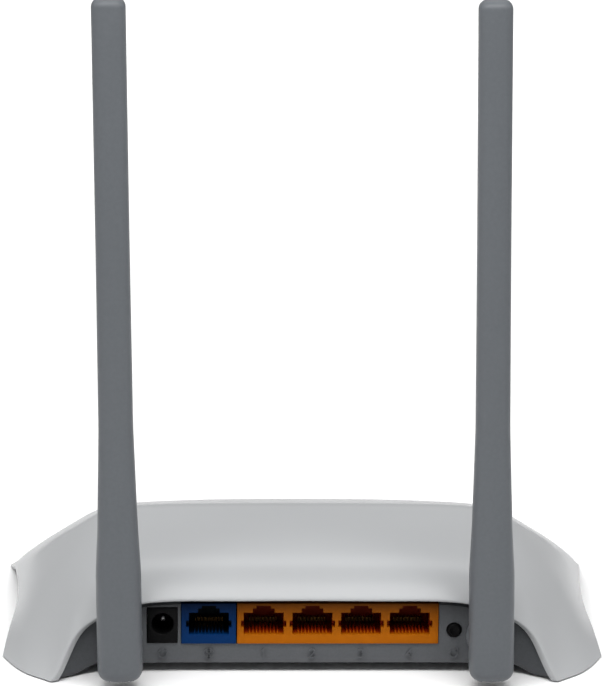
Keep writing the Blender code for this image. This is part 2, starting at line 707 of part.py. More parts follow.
def swivel_bracket(side, name, finish):
    """Flange and neck turned about the swivel axis, with a tongue that holds the hinge pin."""
    x = side * ANTENNA_X
    bracket = turned(f"{name}_swivel_bracket", (
        (NECK_END, 0), (NECK_END, NECK_RADIUS), (CLIP_GROOVE[1], NECK_RADIUS),
        (CLIP_GROOVE[1], CLIP_GROOVE_RADIUS), (CLIP_GROOVE[0], CLIP_GROOVE_RADIUS),
        (CLIP_GROOVE[0], NECK_RADIUS), (FLANGE_FORWARD[1], NECK_RADIUS), (FLANGE_FORWARD[1], FLANGE_RADIUS),
        (FLANGE_FORWARD[0] + 0.6, FLANGE_RADIUS), (FLANGE_FORWARD[0], FLANGE_RADIUS - 0.6),
        (FLANGE_FORWARD[0], 0)), (x, PIVOT_UP), finish)
    outline = [(FLANGE_FORWARD[0] + 1, PIVOT_UP + TONGUE_RADIUS)]
    for number in range(SMALL_ROUND + 1):
        angle = math.radians(90 + 180 * number / SMALL_ROUND)
        outline.append((PIN_FORWARD + TONGUE_RADIUS * math.cos(angle),
                        PIVOT_UP + TONGUE_RADIUS * math.sin(angle)))
    outline.append((FLANGE_FORWARD[0] + 1, PIVOT_UP - TONGUE_RADIUS))
    join(bracket, prism(f"{name}_tongue", outline, x - TONGUE_HALF_WIDTH, x + TONGUE_HALF_WIDTH, across="X"))
    cut(bracket,
        rod(f"{name}_tongue_bore", PIN_RADIUS + GAP, (x - 8, PIN_FORWARD, PIVOT_UP), 16, "X",
            sides=SMALL_ROUND),
        rod(f"{name}_cable_bore", CABLE_GROOVE_RADIUS, (x, PIN_FORWARD - 6, PIVOT_UP + CABLE_GROOVE_UP), 30,
            "Y", sides=SMALL_ROUND))
    return bracket


def retaining_clip(side, name, finish):
    """Open ring that sits in the neck's groove behind the panel."""
    x = side * ANTENNA_X
    middle = sum(CLIP_GROOVE) / 2
    clip = rod(f"{name}_retaining_clip", 5.4, (x, middle - 0.3, PIVOT_UP), 0.6, "Y", finish)
    cut(clip, rod(f"{name}_clip_bore", CLIP_GROOVE_RADIUS + GAP, (x, middle - 2, PIVOT_UP), 4, "Y"))
    cut(clip, box(f"{name}_clip_slot", (x - 1.6, x + 1.6), (middle - 2, middle + 2), (0, PIVOT_UP)))
    return clip


def antenna(side, name, plastic, metal, copper):
    """Both halves of the antenna's housing, the hinge pin that they clamp and the radiator between them."""
    x = side * ANTENNA_X
    wide = (x - 20, x + 20)
    slot = box(f"{name}_slot", (x - TONGUE_HALF_WIDTH - GAP, x + TONGUE_HALF_WIDTH + GAP),
               (PIN_FORWARD - TONGUE_RADIUS - GAP, 20), (-10, PIVOT_UP + TONGUE_RADIUS + GAP))
    channel = box(f"{name}_channel", (x - CHANNEL_HALF_WIDTH, x + CHANNEL_HALF_WIDTH),
                  (PIN_FORWARD - CHANNEL_HALF_DEPTH, PIN_FORWARD + CHANNEL_HALF_DEPTH),
                  (PIVOT_UP, CHANNEL_TOP))
    seat = rod(f"{name}_pin_seat", PIN_RADIUS + GAP, (x - PIN_HALF_LENGTH - GAP, PIN_FORWARD, PIVOT_UP),
               2 * (PIN_HALF_LENGTH + GAP), "X", sides=SMALL_ROUND)
    halves = []
    for half, kept in (("rear", (PIN_FORWARD - 20, PIN_FORWARD - GAP / 2)),
                       ("front", (PIN_FORWARD + GAP / 2, PIN_FORWARD + 20))):
        shell = antenna_blank(f"{name}_{half}_cover", side, plastic)
        keep_inside(shell, box(f"{name}_{half}_side", wide, kept, (-10, 220)))
        halves.append(cut(shell, slot, channel, seat))
    pin = rod(f"{name}_hinge_pin", PIN_RADIUS, (x - PIN_HALF_LENGTH, PIN_FORWARD, PIVOT_UP),
              2 * PIN_HALF_LENGTH, "X", metal, SMALL_ROUND)
    radiator = box(f"{name}_radiator", (x - RADIATOR_HALF_WIDTH, x + RADIATOR_HALF_WIDTH),
                   (PIN_FORWARD - RADIATOR_HALF_THICKNESS, PIN_FORWARD + RADIATOR_HALF_THICKNESS),
                   RADIATOR_ENDS, copper)
    return [*halves, pin, radiator]


def antennas(plastic, metal, copper, jacket):
    for side, name, lean in zip((-1, 1), ("left_antenna", "right_antenna"), ANTENNA_LEANS):
        x = side * ANTENNA_X
        swivel = empty(f"{name}_swivel_axis", x, PANEL_FORWARD, PIVOT_UP)
        swivel.rotation_euler.y = -lean
        carry(swivel, place(x, PANEL_FORWARD, PIVOT_UP), swivel_bracket(side, name, plastic),
              retaining_clip(side, name, metal))
        tilt = empty(f"{name}_tilt_axis", x, PIN_FORWARD, PIVOT_UP, swivel)
        carry(tilt, place(x, PIN_FORWARD, PIVOT_UP), *antenna(side, name, plastic, metal, copper))
        antenna_cable(side, f"{name}_cable", jacket)


# ---------------------------------------------------------------- the whole router

def main():
    for old in list(bpy.data.objects):
        bpy.data.objects.remove(old)
    bpy.context.scene.collection.children.link(parts)
    bpy.context.scene.collection.children.link(cutters)

    white = material("shell_plastic", (0.62, 0.63, 0.64), 0.28)
    grey = material("base_plastic", (0.085, 0.095, 0.105), 0.5)
    antenna_grey = material("antenna_plastic", (0.13, 0.14, 0.15), 0.5)
    blue = material("wan_plastic", (0.0, 0.045, 0.27), 0.4)
    orange = material("lan_plastic", (0.68, 0.24, 0.005), 0.4)
    black = material("black_plastic", (0.006, 0.006, 0.007), 0.45)
    rubber = material("rubber", (0.03, 0.03, 0.03), 0.85)
    steel = material("steel", (0.6, 0.6, 0.6), 0.3, 1.0)
    aluminium = material("aluminium", (0.75, 0.75, 0.77), 0.35, 1.0)
    gold = material("gold_plating", (0.9, 0.62, 0.2), 0.25, 1.0)
    copper = material("copper", (0.85, 0.42, 0.25), 0.35, 1.0)
    laminate = material("board_laminate", (0.01, 0.12, 0.05), 0.5)
    clear = material("clear_plastic", (0.85, 0.88, 0.9), 0.1)
    paper = material("label_film", (0.8, 0.8, 0.8), 0.6)
    ferrite = material("ferrite", (0.05, 0.05, 0.055), 0.7)

    top_shell(white)
    base_shell(grey)
    blank_label(paper)
    rubber_feet(rubber)
    screws(steel)
    network_sockets(blue, orange, gold)
    power_socket(black, steel)
    reset_button(black, grey)
    main_board(laminate)
    components(black, steel, aluminium, ferrite)
    light_guide(clear)
    antennas(antenna_grey, steel, copper, black)


main()
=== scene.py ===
"""Looks of the desktop wireless router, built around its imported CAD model.

Lengths are in millimetres and become metres in the helper functions. A place is (x, forward, up), with
forward counted from the body's rear foot line, as in the CAD model: the frame says where that line is.
"""

import json
import math

import bmesh
import bpy
import numpy as np
from mathutils import Matrix, Vector


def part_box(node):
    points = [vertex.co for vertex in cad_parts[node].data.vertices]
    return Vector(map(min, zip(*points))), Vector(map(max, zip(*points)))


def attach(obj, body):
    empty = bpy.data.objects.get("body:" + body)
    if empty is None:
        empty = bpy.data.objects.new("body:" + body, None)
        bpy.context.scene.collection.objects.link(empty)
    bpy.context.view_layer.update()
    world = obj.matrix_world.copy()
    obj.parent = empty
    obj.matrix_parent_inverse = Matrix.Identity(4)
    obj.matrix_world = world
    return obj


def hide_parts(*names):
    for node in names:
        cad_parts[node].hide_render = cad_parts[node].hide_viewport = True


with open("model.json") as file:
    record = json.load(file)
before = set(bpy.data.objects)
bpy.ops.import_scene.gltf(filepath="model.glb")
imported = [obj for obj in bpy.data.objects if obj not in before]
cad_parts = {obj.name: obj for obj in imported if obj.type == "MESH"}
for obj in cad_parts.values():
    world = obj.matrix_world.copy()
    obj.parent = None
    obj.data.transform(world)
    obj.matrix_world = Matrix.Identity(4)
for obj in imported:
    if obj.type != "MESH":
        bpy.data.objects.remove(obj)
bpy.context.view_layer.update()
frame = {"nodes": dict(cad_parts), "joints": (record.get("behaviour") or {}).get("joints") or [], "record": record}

MM = 0.001
GAP = 0.3
ROUND = 48                # sides of a full circle
SMALL_ROUND = 24
WELD_DISTANCE = 0.01
NODE_ROUNDING = 0.12      # on the edges of the CAD nodes that stay

# Edges that are sharper than these angles, in degrees, are rounded or shaded as edges.
EDGE_ANGLE = 35
NODE_ANGLE = 40
RIM_ANGLE = 50
SHELL_ANGLE = 40
BASE_ANGLE = 30
COVER_ANGLE = 38
TURNED_ANGLE = 50

# ---------------------------------------------------------------- dimensions

PANEL_FORWARD = 10.0
SHELL_THICKNESS = 2.0
LIP_SHARE = 0.5           # share of the thickness that is left at the lip over the sockets
LIP_FORWARD = (9.0, 14.0)
LIP_X = (56.0, 66.0)
SHELL_GAP = 0.7
BASE_WALL = 1.8
BELLY = 3.0
FLOOR_TOP = BELLY + BASE_WALL
LEG_BOTTOM = 0.6
TABLE_CLEARANCE = 0.5
PANEL_FIT = 0.12          # room between the sockets and the panel
OPENING_TOP = 35.0        # the network sockets' opening is cut up through the panel's top edge
THROUGH_PANEL = (PANEL_FORWARD - 12, PANEL_FORWARD + BASE_WALL + 1.5)   # ends of the panel's cutters
BELOW = -5.0              # lower end of a cutter that comes from under the housing
TALL = 30.0               # length of a post or a window cutter, enough to pass through the shell
ABOVE = 40.0              # upper end of a blank that the space under the shell trims
CUTTER_FORWARD = (-10.0, 140.0)
CUTTER_X = (-100.0, 100.0)
TABLE_CUTTER = ((-120.0, 120.0), (-40.0, 160.0), (-30.0, TABLE_CLEARANCE))
SKIRT_BOTTOM = -20.0

# Top shell, as cross sections from the rear edge to the front edge, each from the middle to the side edge.
SHELL_SECTIONS = (
    ((0, 8.6, 22.7), (24.1, 8.6, 22.6), (46.1, 8.4, 22), (59.2, 7.4, 18),
     (67.2, 4.8, 11.5), (73.2, 1.2, 0.5), (80.8, 7.8, 0), (88.8, 22.4, 0)),
    ((0, 20, 31.2), (24.1, 20, 31.1), (46.2, 20, 30.2), (59.2, 20.5, 27.3),
     (67.7, 21, 22.7), (75.2, 23, 15.7), (81.8, 27, 9.3), (87.5, 37, 4.5)),
    ((0, 42, 34.1), (24.1, 42, 33.9), (46.2, 42, 33), (59.2, 42.5, 30.8),
     (68.2, 43, 26.9), (76, 44.5, 20.9), (82, 47, 14.3), (86.1, 50, 7.9)),
    ((0, 64, 35.2), (24.1, 64, 35.1), (46.1, 64, 34.7), (59.2, 64.5, 32.7),
     (68.2, 65, 27.9), (76.2, 66, 22.6), (82.6, 67, 16.2), (86.7, 67, 9.1)),
    ((0, 94, 27.8), (24.1, 94, 27.6), (46.1, 94, 26.6), (60.2, 93.5, 24.9),
     (69.2, 93, 20.7), (77.2, 92, 16), (85, 90, 11.5), (89.1, 88, 7.2)),
    ((0, 128, 13.5), (24.1, 127.6, 13), (46.1, 126.4, 11), (59.1, 124.6, 8.6),
     (67.2, 123.6, 5), (74.8, 125.6, 0.4), (85.1, 121.5, 0), (92, 111.8, 0.4)),
)
RIDGE_ROW = 3             # the shell has a crease along this section
SHELL_LEVELS = 3          # how often the shell's surface is subdivided
ROOM_LEVELS = 2           # and that of the space under it
BASE_HALF_OUTLINE = (
    (60, 10), (64, 8.3), (68, 6), (71.5, 3.6), (76, 8), (80, 16), (82, 26), (81, 42), (80.5, 60),
    (81, 80), (83, 98), (80, 111), (74, 118), (62, 119.5), (42, 121.5), (20, 122.6),
)
LEG_INNER_X = (59.5, 67.5)
SLOPE_STEPS = (1, 0.85, 0.7, 0.55, 0.4, 0.25, 0.1, 0)   # points along the slope beside a leg
LEG_REAR_FORWARD = (24.0, 30.0)
LEG_FRONT_FORWARD = (98.0, 103.0)
POST_PLACES = ((-66, 34), (66, 34), (-66, 94), (66, 94))
POST_RADIUS = 3.5
POST_BOTTOM = 6.9
SCREW_HOLE_RADIUS = 1.6
SCREW_HOLE_TOP = 16.0
BOSS_RADIUS = 4.2
BOSS_START = 0.4          # above the belly
BOSS_HEIGHT = 3.2
SCREW_RECESS_RADIUS = 2.9
SCREW_RECESS_DEPTH = 2.2  # above the belly
BOSS_HOLE_TOP = 10.0
WINDOW_PITCH = 8
WINDOW_FORWARD = 112
WINDOW_PLACES = tuple((WINDOW_PITCH * number, WINDOW_FORWARD) for number in range(-3, 4))
WINDOW_RADIUS = 1.1
WINDOW_START = 8.0
RIM_ROUNDING = 0.42

VENT_NUMBERS = range(-4, 5)
VENT_PITCH = 8
VENT_HALF_WIDTH = 1.3
VENT_FORWARD = (33, 57)
KEYHOLE_X = 45
KEYHOLE_FORWARD = 46
KEYHOLE_RADIUS = 3.6
KEYHOLE_SLOT_HALF_WIDTH = 1.8
KEYHOLE_SLOT_FORWARD = (49, 56)
FOOT_NUMBERS = range(1, 5)
DIMPLE_SHARE = 0.55       # of a foot's radius
DIMPLE_DEPTH = 0.25
FOOT_ROUNDING = 0.2

MOUTH_START = 2.0         # how far in front of the panel a socket's cutter starts
PORT_DEPTH = 12.5
PORT_BOTTOM = 11.8
PORT_STEPS = ((5.8, 18.4), (3.15, 19.7), (2.1, 20.5))
PORT_SIDE_NOTCH = (6.6, 13.9, 16.0, 3.0)
WAN_PORT_X = -27.8
LAN_PORT_X = tuple(-11.9 + 14.14 * number for number in range(4))
CONTACT_COUNT = 8
CONTACT_PITCH = 1.02
CONTACT_START = 6.3       # behind the panel's face
CONTACT_HALF_WIDTH = 0.16
CARRIER_SIZE = 1.2
RIB_DEPTH = (0.7, 6.0)
RIB_ROOT = 0.2            # how far the ribs reach into the socket's floor
RIB_HALF_WIDTH = 0.17
SOCKET_ROUNDING = 0.25
DC_HOLE = (-41.2, 15.0)
DC_HOLE_RADIUS = 3.15
DC_HOLE_DEPTH = 11.0
DC_MOUTH_RADII = (DC_HOLE_RADIUS + 0.25, DC_HOLE_RADIUS - 0.1)
DC_MOUTH_DEPTH = 0.45
DC_ROUNDING = 0.3
DC_PIN_NOSE = ((0, 0), (0.05, 0.45), (0.35, 0.85), (0.8, 1))   # distance behind the tip and radius
BUTTON = (43.5, 13.0)
BUTTON_HOLE_RADIUS = 2.3
BUTTON_CAP = ((0.25, 0), (0.12, 1.1), (0, 1.35), (0.04, 1.7), (0.2, 1.9), (0.5, 2))   # likewise
BUTTON_RADII = (2, 3, 1.5)   # cap, flange and stem
BUTTON_FLANGE_WIDTH = 1

PIN_FORWARD = -3.0
# Rows of an antenna's height, half width and half depth.
TAPER = ((35.0, 6.45, 5.6), (48.0, 5.75, 5.0), (77.0, 4.9, 3.9), (125.0, 4.75, 3.9))
TAIL_ROUNDING = 3.5
TIP_ROUNDING = 2.6
END_RINGS = 7             # rings in the rounding of each end
END_FACE_SHARE = 0.9      # share of the rounding by which an end's flat face is drawn in
ANTENNA_RING_HEIGHTS = (14, 20, 28, *range(34, 82, 3), 90, 110, 130, 150, 170, 190)
SEAM = 0.06               # half the width of the line between an antenna's covers
CHANNEL = (2.6, 2.1)      # half width and half depth of the room for the radiator
CHANNEL_TOP = 190.0
CABLE_BORE = (1.0, 2.65)  # radius, and height above the swivel's axis
CABLE_BORE_START = PIN_FORWARD - 6
SECTION_POWER = 2.8
ANTENNA_LEANS = {"left_antenna": math.radians(0.7), "right_antenna": math.radians(0.95)}
PIN_RADIUS = 1.1
PIN_HALF_LENGTH = 5.0
TONGUE_HALF_WIDTH = 2.5
TONGUE_RADIUS = 3.75
FLANGE_RADIUS = 6.3
FLANGE_FORWARD = (7.4, 9.7)
FLANGE_RIM = ((0, 0.9), (0.1, 0.5), (0.4, 0.15), (0.8, 0))   # distances behind the face and inside the rim
NECK_RADIUS = 4.0
NECK_END = 15.6
CLIP_GROOVE = (12.1, 13.3)
CLIP_GROOVE_RADIUS = 3.2

joints = {joint["name"]: joint for joint in frame["joints"]}
swivel_place = joints["right_antenna_swivel"]["pos_m"]
ANTENNA_X = swivel_place[0] / MM
PIVOT_UP = swivel_place[2] / MM
MIDDLE_FORWARD = PANEL_FORWARD - swivel_place[1] / MM
ANTENNA_BOTTOM = 2.7
ANTENNA_TOP = 198.5

# ---------------------------------------------------------------- mesh helpers


def place(x, forward, up):
    """Position in metres in the row's frame."""
    return Vector((x, forward - MIDDLE_FORWARD, up)) * MM


def cad_span(node):
    """Low and high value of a CAD node in x, forward and up."""
    low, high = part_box(node)
    return ((low.x / MM, high.x / MM), (low.y / MM + MIDDLE_FORWARD, high.y / MM + MIDDLE_FORWARD),
            (low.z / MM, high.z / MM))


def add(name, mesh):
    made = bpy.data.objects.new(name, mesh)
    bpy.context.scene.collection.objects.link(made)
    return made


def mesh_from(name, shape):
    mesh = bpy.data.meshes.new(name)
    shape.to_mesh(mesh)
    shape.free()
    return mesh


def box(name, x, forward, up):
    """Box between the low and high value of each direction."""
    shape = bmesh.new()
    bmesh.ops.create_cube(shape, size=1.0)
    low = place(x[0], forward[0], up[0])
    high = place(x[1], forward[1], up[1])
    bmesh.ops.scale(shape, vec=high - low, verts=shape.verts)
    bmesh.ops.translate(shape, vec=(low + high) / 2, verts=shape.verts)
    return add(name, mesh_from(name, shape))


def rod(name, radius, start, length, along="Z", sides=ROUND, end_radius=None):
    """Cylinder or cone from a start point along +X, +Y (forward) or +Z."""
    shape = bmesh.new()
    last = radius if end_radius is None else end_radius
    bmesh.ops.create_cone(shape, cap_ends=True, segments=sides, radius1=radius * MM, radius2=last * MM,
                          depth=length * MM)
    bmesh.ops.translate(shape, vec=(0, 0, length * MM / 2), verts=shape.verts)
    shape.transform(Matrix.Translation(place(*start)) @ turn_to(along))
    return add(name, mesh_from(name, shape))


def turn_to(along):
    """Turns a shape that stands along +Z."""
    if along == "X":
        return Matrix.Rotation(math.radians(90), 4, "Y")
    if along == "Y":
        return Matrix.Rotation(math.radians(-90), 4, "X")
    return Matrix.Identity(4)


def prism(name, outline, low, high, across="Z"):
    """Flat outline with a thickness: (x, forward) across Z, (x, up) across Y or (forward, up) across X."""
    shape = bmesh.new()
    corners = {
        "Z": lambda a, b, level: place(a, b, level),
        "Y": lambda a, b, level: place(a, level, b),
        "X": lambda a, b, level: place(level, a, b),
    }[across]
    face = shape.faces.new([shape.verts.new(corners(a, b, low)) for a, b in outline])
    raised = bmesh.ops.extrude_face_region(shape, geom=[face])["geom"]
    shift = corners(0, 0, high) - corners(0, 0, low)
    bmesh.ops.translate(shape, vec=shift, verts=[v for v in raised if isinstance(v, bmesh.types.BMVert)])
    bmesh.ops.recalc_face_normals(shape, faces=shape.faces)
    return add(name, mesh_from(name, shape))


def turned(name, profile, x, up, sides=ROUND):
    """Solid turned about a forward axis from (forward, radius) points, with both ends on the axis."""
    shape = bmesh.new()
    rings = []
    for forward, radius in profile:
        if radius == 0:
            rings.append([shape.verts.new(place(x, forward, up))])
            continue
        angles = (2 * math.pi * i / sides for i in range(sides))
        rings.append([shape.verts.new(place(x + radius * math.cos(a), forward, up + radius * math.sin(a)))
                      for a in angles])
    for first, second in zip(rings, rings[1:]):
        for i in range(sides):
            following = (i + 1) % sides
            corners = (first[i % len(first)], first[following % len(first)],
                       second[following % len(second)], second[i % len(second)])
            shape.faces.new(list(dict.fromkeys(corners)))
    bmesh.ops.recalc_face_normals(shape, faces=shape.faces)
    return add(name, mesh_from(name, shape))


def together(name, pieces):
    """One object that holds the meshes of several."""
    shape = bmesh.new()
    for piece in pieces:
        shape.from_mesh(piece.data)
        bpy.data.objects.remove(piece)
    return add(name, mesh_from(name, shape))


def apply_modifiers(target):
    """Turns the evaluated mesh into the object's own mesh."""
    evaluated = target.evaluated_get(bpy.context.evaluated_depsgraph_get())
    mesh = bpy.data.meshes.new_from_object(evaluated)
    target.modifiers.clear()
    target.data = mesh


def boolean(target, tools, operation):
    """Cuts, joins or trims the target with tools, which are used up."""
    tool = tools[0] if len(tools) == 1 else together(f"{target.name}_tools", tools)
    step = target.modifiers.new(operation, "BOOLEAN")
    step.object = tool
    step.operation = operation
    step.solver = "EXACT"
    step.use_self = len(tools) > 1
    apply_modifiers(target)
    bpy.data.objects.remove(tool)


def cut(target, *tools):
    boolean(target, tools, "DIFFERENCE")


def join(target, *tools):
    boolean(target, tools, "UNION")


def keep_inside(target, tool):
    boolean(target, [tool], "INTERSECT")


def add_bevel(target, name, width, segments, angle):
    """Modifier that rounds the edges that are sharper than an angle."""
    bevel = target.modifiers.new(name, "BEVEL")
    bevel.width = width * MM
    bevel.segments = segments
    bevel.limit_method = "ANGLE"
    bevel.angle_limit = math.radians(angle)


def round_edges(target, width):
    """Rounds a piece's sharp edges, once its flat faces are whole again."""
    shape = bmesh.new()
    shape.from_mesh(target.data)
    bmesh.ops.remove_doubles(shape, verts=shape.verts, dist=WELD_DISTANCE * MM)
    bmesh.ops.dissolve_limit(shape, angle_limit=math.radians(1), verts=shape.verts, edges=shape.edges)
    shape.to_mesh(target.data)
    shape.free()
    add_bevel(target, "edges", width, 2, EDGE_ANGLE)
    apply_modifiers(target)


def smooth(target, angle=EDGE_ANGLE):
    target.data.shade_smooth()
    target.data.set_sharp_from_angle(angle=math.radians(angle))


def inset(outline, distance):
    """Closed outline, listed anticlockwise, moved inwards by a distance."""
    moved = []
    for i, point in enumerate(outline):
        before = (Vector(point) - Vector(outline[i - 1])).normalized()
        after = (Vector(outline[(i + 1) % len(outline)]) - Vector(point)).normalized()
        inward = Vector((-before.y - after.y, before.x + after.x)).normalized()
        reach = distance / max(0.3, inward.dot(Vector((-before.y, before.x))))
        moved.append(tuple(Vector(point) + inward * reach))
    return moved


def both_halves(half):
    return [*half, *((-x, forward) for x, forward in reversed(half))]


def finish_piece(piece, material, body, node):
    """Gives a piece its finish and body, and hides the CAD node that it stands in for, if one is given."""
    piece.data.materials.clear()
    piece.data.materials.append(material)
    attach(piece, body)
    if node:
        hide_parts(node)


# ---------------------------------------------------------------- materials

LIP_SHADE = (10.5, 20.5)  # painted shade: the sockets and the panel are painted darker between these heights, towards the lip that shades them
# painted shade: colours that the base and the sockets are multiplied by at the lip
BASE_LIP_PAINTED_SHADE = (0.5, 0.5, 0.5)
SOCKET_LIP_PAINTED_SHADE = (0.25, 0.25, 0.25)
DEPTH_SHADE = (0.3, 2.5)  # painted shade: the mouths of the network sockets are painted darker between these depths, as though in the recess's shade
DEPTH_PAINTED_SHADE = (0.7, 0.18, 0.1)


class Finish:
    """A node material that starts as one Principled BSDF."""

    def __init__(self, name, colour, roughness, metallic=0.0, **sockets):
        self.material = bpy.data.materials.new(name)
        self.material.use_nodes = True
        self.tree = self.material.node_tree
        self.shader = self.tree.nodes["Principled BSDF"]
        self.colour = colour
        self.set("Base Color", (*colour, 1.0))
        self.set("Roughness", roughness)
        self.set("Metallic", metallic)
        for socket, value in sockets.items():
            self.set(socket.replace("_", " "), value)
        self.place = self.node("ShaderNodeTexCoord").outputs["Object"]

    def set(self, socket, value):
        self.shader.inputs[socket].default_value = value

    def node(self, kind, **settings):
        made = self.tree.nodes.new(kind)
        for name, value in settings.items():
            setattr(made, name, value)
        return made

    def link(self, output, target):
        self.tree.links.new(output, target)

    def stretched(self, scale):
        """The place, scaled by an amount for each direction."""
        mapping = self.node("ShaderNodeMapping")
        mapping.inputs["Scale"].default_value = scale
        self.link(self.place, mapping.inputs["Vector"])
        return mapping.outputs["Vector"]

    def noise(self, size_mm, detail, stretch=(1, 1, 1)):
        """Noise whose blobs are about size_mm across."""
        made = self.node("ShaderNodeTexNoise")
        made.inputs["Scale"].default_value = 1 / (size_mm * MM)
        made.inputs["Detail"].default_value = detail
        self.link(self.stretched(stretch), made.inputs["Vector"])
        return made.outputs["Fac"]

    def ranged(self, value, low, high, start=0.3, end=0.7):
        """Value from start to end turned into low to high."""
        made = self.node("ShaderNodeMapRange")
        for socket, number in (("From Min", start), ("From Max", end), ("To Min", low), ("To Max", high)):
            made.inputs[socket].default_value = number
        self.link(value, made.inputs["Value"])
        return made.outputs["Result"]

    def tint(self, value, low, high, start=0.3, end=0.7):
        """Base colour times low where the value is at start, and times high where it is at end."""
        ramp = self.node("ShaderNodeMix", data_type="RGBA")
        ramp.inputs["A"].default_value = (*(c * low for c in self.colour), 1.0)
        ramp.inputs["B"].default_value = (*(min(1.0, c * high) for c in self.colour), 1.0)
        self.link(self.ranged(value, 0.0, 1.0, start, end), ramp.inputs["Factor"])
        self.link(ramp.outputs["Result"], self.shader.inputs["Base Color"])

    def paint_shade(self, axis, start, end, colour):
        """Painted shade: base colour that takes on a darker tint between two places along an axis, as in a spot
        that lies in shade.
        """
        split = self.node("ShaderNodeSeparateXYZ")
        self.link(self.place, split.inputs["Vector"])
        shade = self.node("ShaderNodeMix", data_type="RGBA", blend_type="MULTIPLY")
        self.link(self.ranged(split.outputs[axis], 0.0, 1.0, start * MM, end * MM), shade.inputs["Factor"])
        self.link(self.shader.inputs["Base Color"].links[0].from_socket, shade.inputs["A"])
        shade.inputs["B"].default_value = (*colour, 1.0)
        self.link(shade.outputs["Result"], self.shader.inputs["Base Color"])

    def roughen(self, value, low, high):
        self.link(self.ranged(value, low, high), self.shader.inputs["Roughness"])

    def bump(self, value, height):
        """Bumps of a height in millimetres."""
        made = self.node("ShaderNodeBump")
        made.inputs["Distance"].default_value = height * MM
        made.inputs["Strength"].default_value = 1.0
        self.link(value, made.inputs["Height"])
        self.link(made.outputs["Normal"], self.shader.inputs["Normal"])


def shell_gloss():
    """Glossy moulded plastic, barely uneven."""
    made = Finish("shell_gloss", (0.345, 0.352, 0.359), 0.27, IOR=1.5, Specular_IOR_Level=0.22)
    made.tint(made.noise(35, 1), 0.98, 1.02, 0.0, 1.0)
    made.bump(made.noise(0.8, 1), 0.0012)
    return made.material


def grained(name, colour, roughness, grain=0.35, height=0.02, spread=0.06, lip_painted_shade=None):
    """Plastic from a spark-eroded mould: a fine even grain."""
    made = Finish(name, colour, roughness, IOR=1.5, Specular_IOR_Level=0.2)
    made.tint(made.noise(grain * 2, 3), 1 - spread, 1 + spread)
    # painted shade: the plastic is drawn darker towards the lip, as though in its shadow
    if lip_painted_shade:
        made.paint_shade("Z", *LIP_SHADE, lip_painted_shade)
    made.roughen(made.noise(5, 3), roughness - 0.05, roughness + 0.05)
    made.bump(made.noise(grain, 3), height)
    return made.material


def moulded(name, colour, roughness, spread=0.04, socket=False):
    """Plain moulded plastic with a slight unevenness; for a socket, also painted shade under the lip and in the
    mouths.
    """
    made = Finish(name, colour, roughness, IOR=1.5, Specular_IOR_Level=0.05)
    made.tint(made.noise(2.5, 4), 1 - spread, 1 + spread)
    # painted shade: darker towards the lip and deeper in the mouths, where shade falls
    if socket:
        panel = PANEL_FORWARD - MIDDLE_FORWARD
        made.paint_shade("Z", *LIP_SHADE, SOCKET_LIP_PAINTED_SHADE)
        made.paint_shade("Y", *(panel + depth for depth in DEPTH_SHADE), DEPTH_PAINTED_SHADE)
    made.roughen(made.noise(1.2, 3), roughness - 0.06, roughness + 0.06)
    made.bump(made.noise(0.6, 2), 0.004)
    return made.material


def rubber():
    made = Finish("rubber_foot", (0.028, 0.028, 0.029), 0.85, IOR=1.5)
    made.tint(made.noise(0.8, 4), 0.8, 1.25)
    made.bump(made.noise(0.25, 3), 0.03)
    return made.material


def metal(name, colour, roughness, grain=(1, 12, 1)):
    """Plated or brushed metal with marks along one direction."""
    made = Finish(name, colour, roughness, 1.0)
    made.tint(made.noise(1.5, 4), 0.92, 1.06)
    made.roughen(made.noise(0.4, 3, grain), roughness - 0.07, roughness + 0.1)
    made.bump(made.noise(0.15, 2, grain), 0.003)
    return made.material


def board_mask():
    """Green solder mask over copper tracks, which show as a slightly raised lighter pattern."""
    made = Finish("solder_mask", (0.012, 0.15, 0.06), 0.35, IOR=1.5, Coat_Weight=0.3)
    tracks = made.node("ShaderNodeTexBrick")
    tracks.inputs["Scale"].default_value = 1 / (4.2 * MM)
    tracks.inputs["Mortar Size"].default_value = 0.06
    tracks.inputs["Color1"].default_value = (0.35, 0.35, 0.35, 1)
    tracks.inputs["Color2"].default_value = (0.45, 0.45, 0.45, 1)
    tracks.inputs["Mortar"].default_value = (1, 1, 1, 1)
    made.link(made.place, tracks.inputs["Vector"])
    made.tint(tracks.outputs["Color"], 0.75, 1.7, 0.3, 1.0)
    made.bump(tracks.outputs["Color"], 0.035)
    return made.material


def clear_plastic():
    made = Finish("clear_plastic", (0.86, 0.89, 0.9), 0.12, IOR=1.49, Transmission_Weight=0.6)
    made.tint(made.noise(3, 2), 0.96, 1.0)
    made.bump(made.noise(1.5, 2), 0.004)
    return made.material


def label_film():
    made = Finish("label_film", (0.78, 0.78, 0.77), 0.45, IOR=1.5)
    made.tint(made.noise(6, 3), 0.96, 1.02)
    made.bump(made.noise(1.8, 3), 0.012)
    return made.material


def pale_floor():
    made = Finish("pale_floor", (0.9, 0.9, 0.9), 0.8, Specular_IOR_Level=0.1)
    made.tint(made.noise(60, 2), 0.995, 1.0)
    return made.material


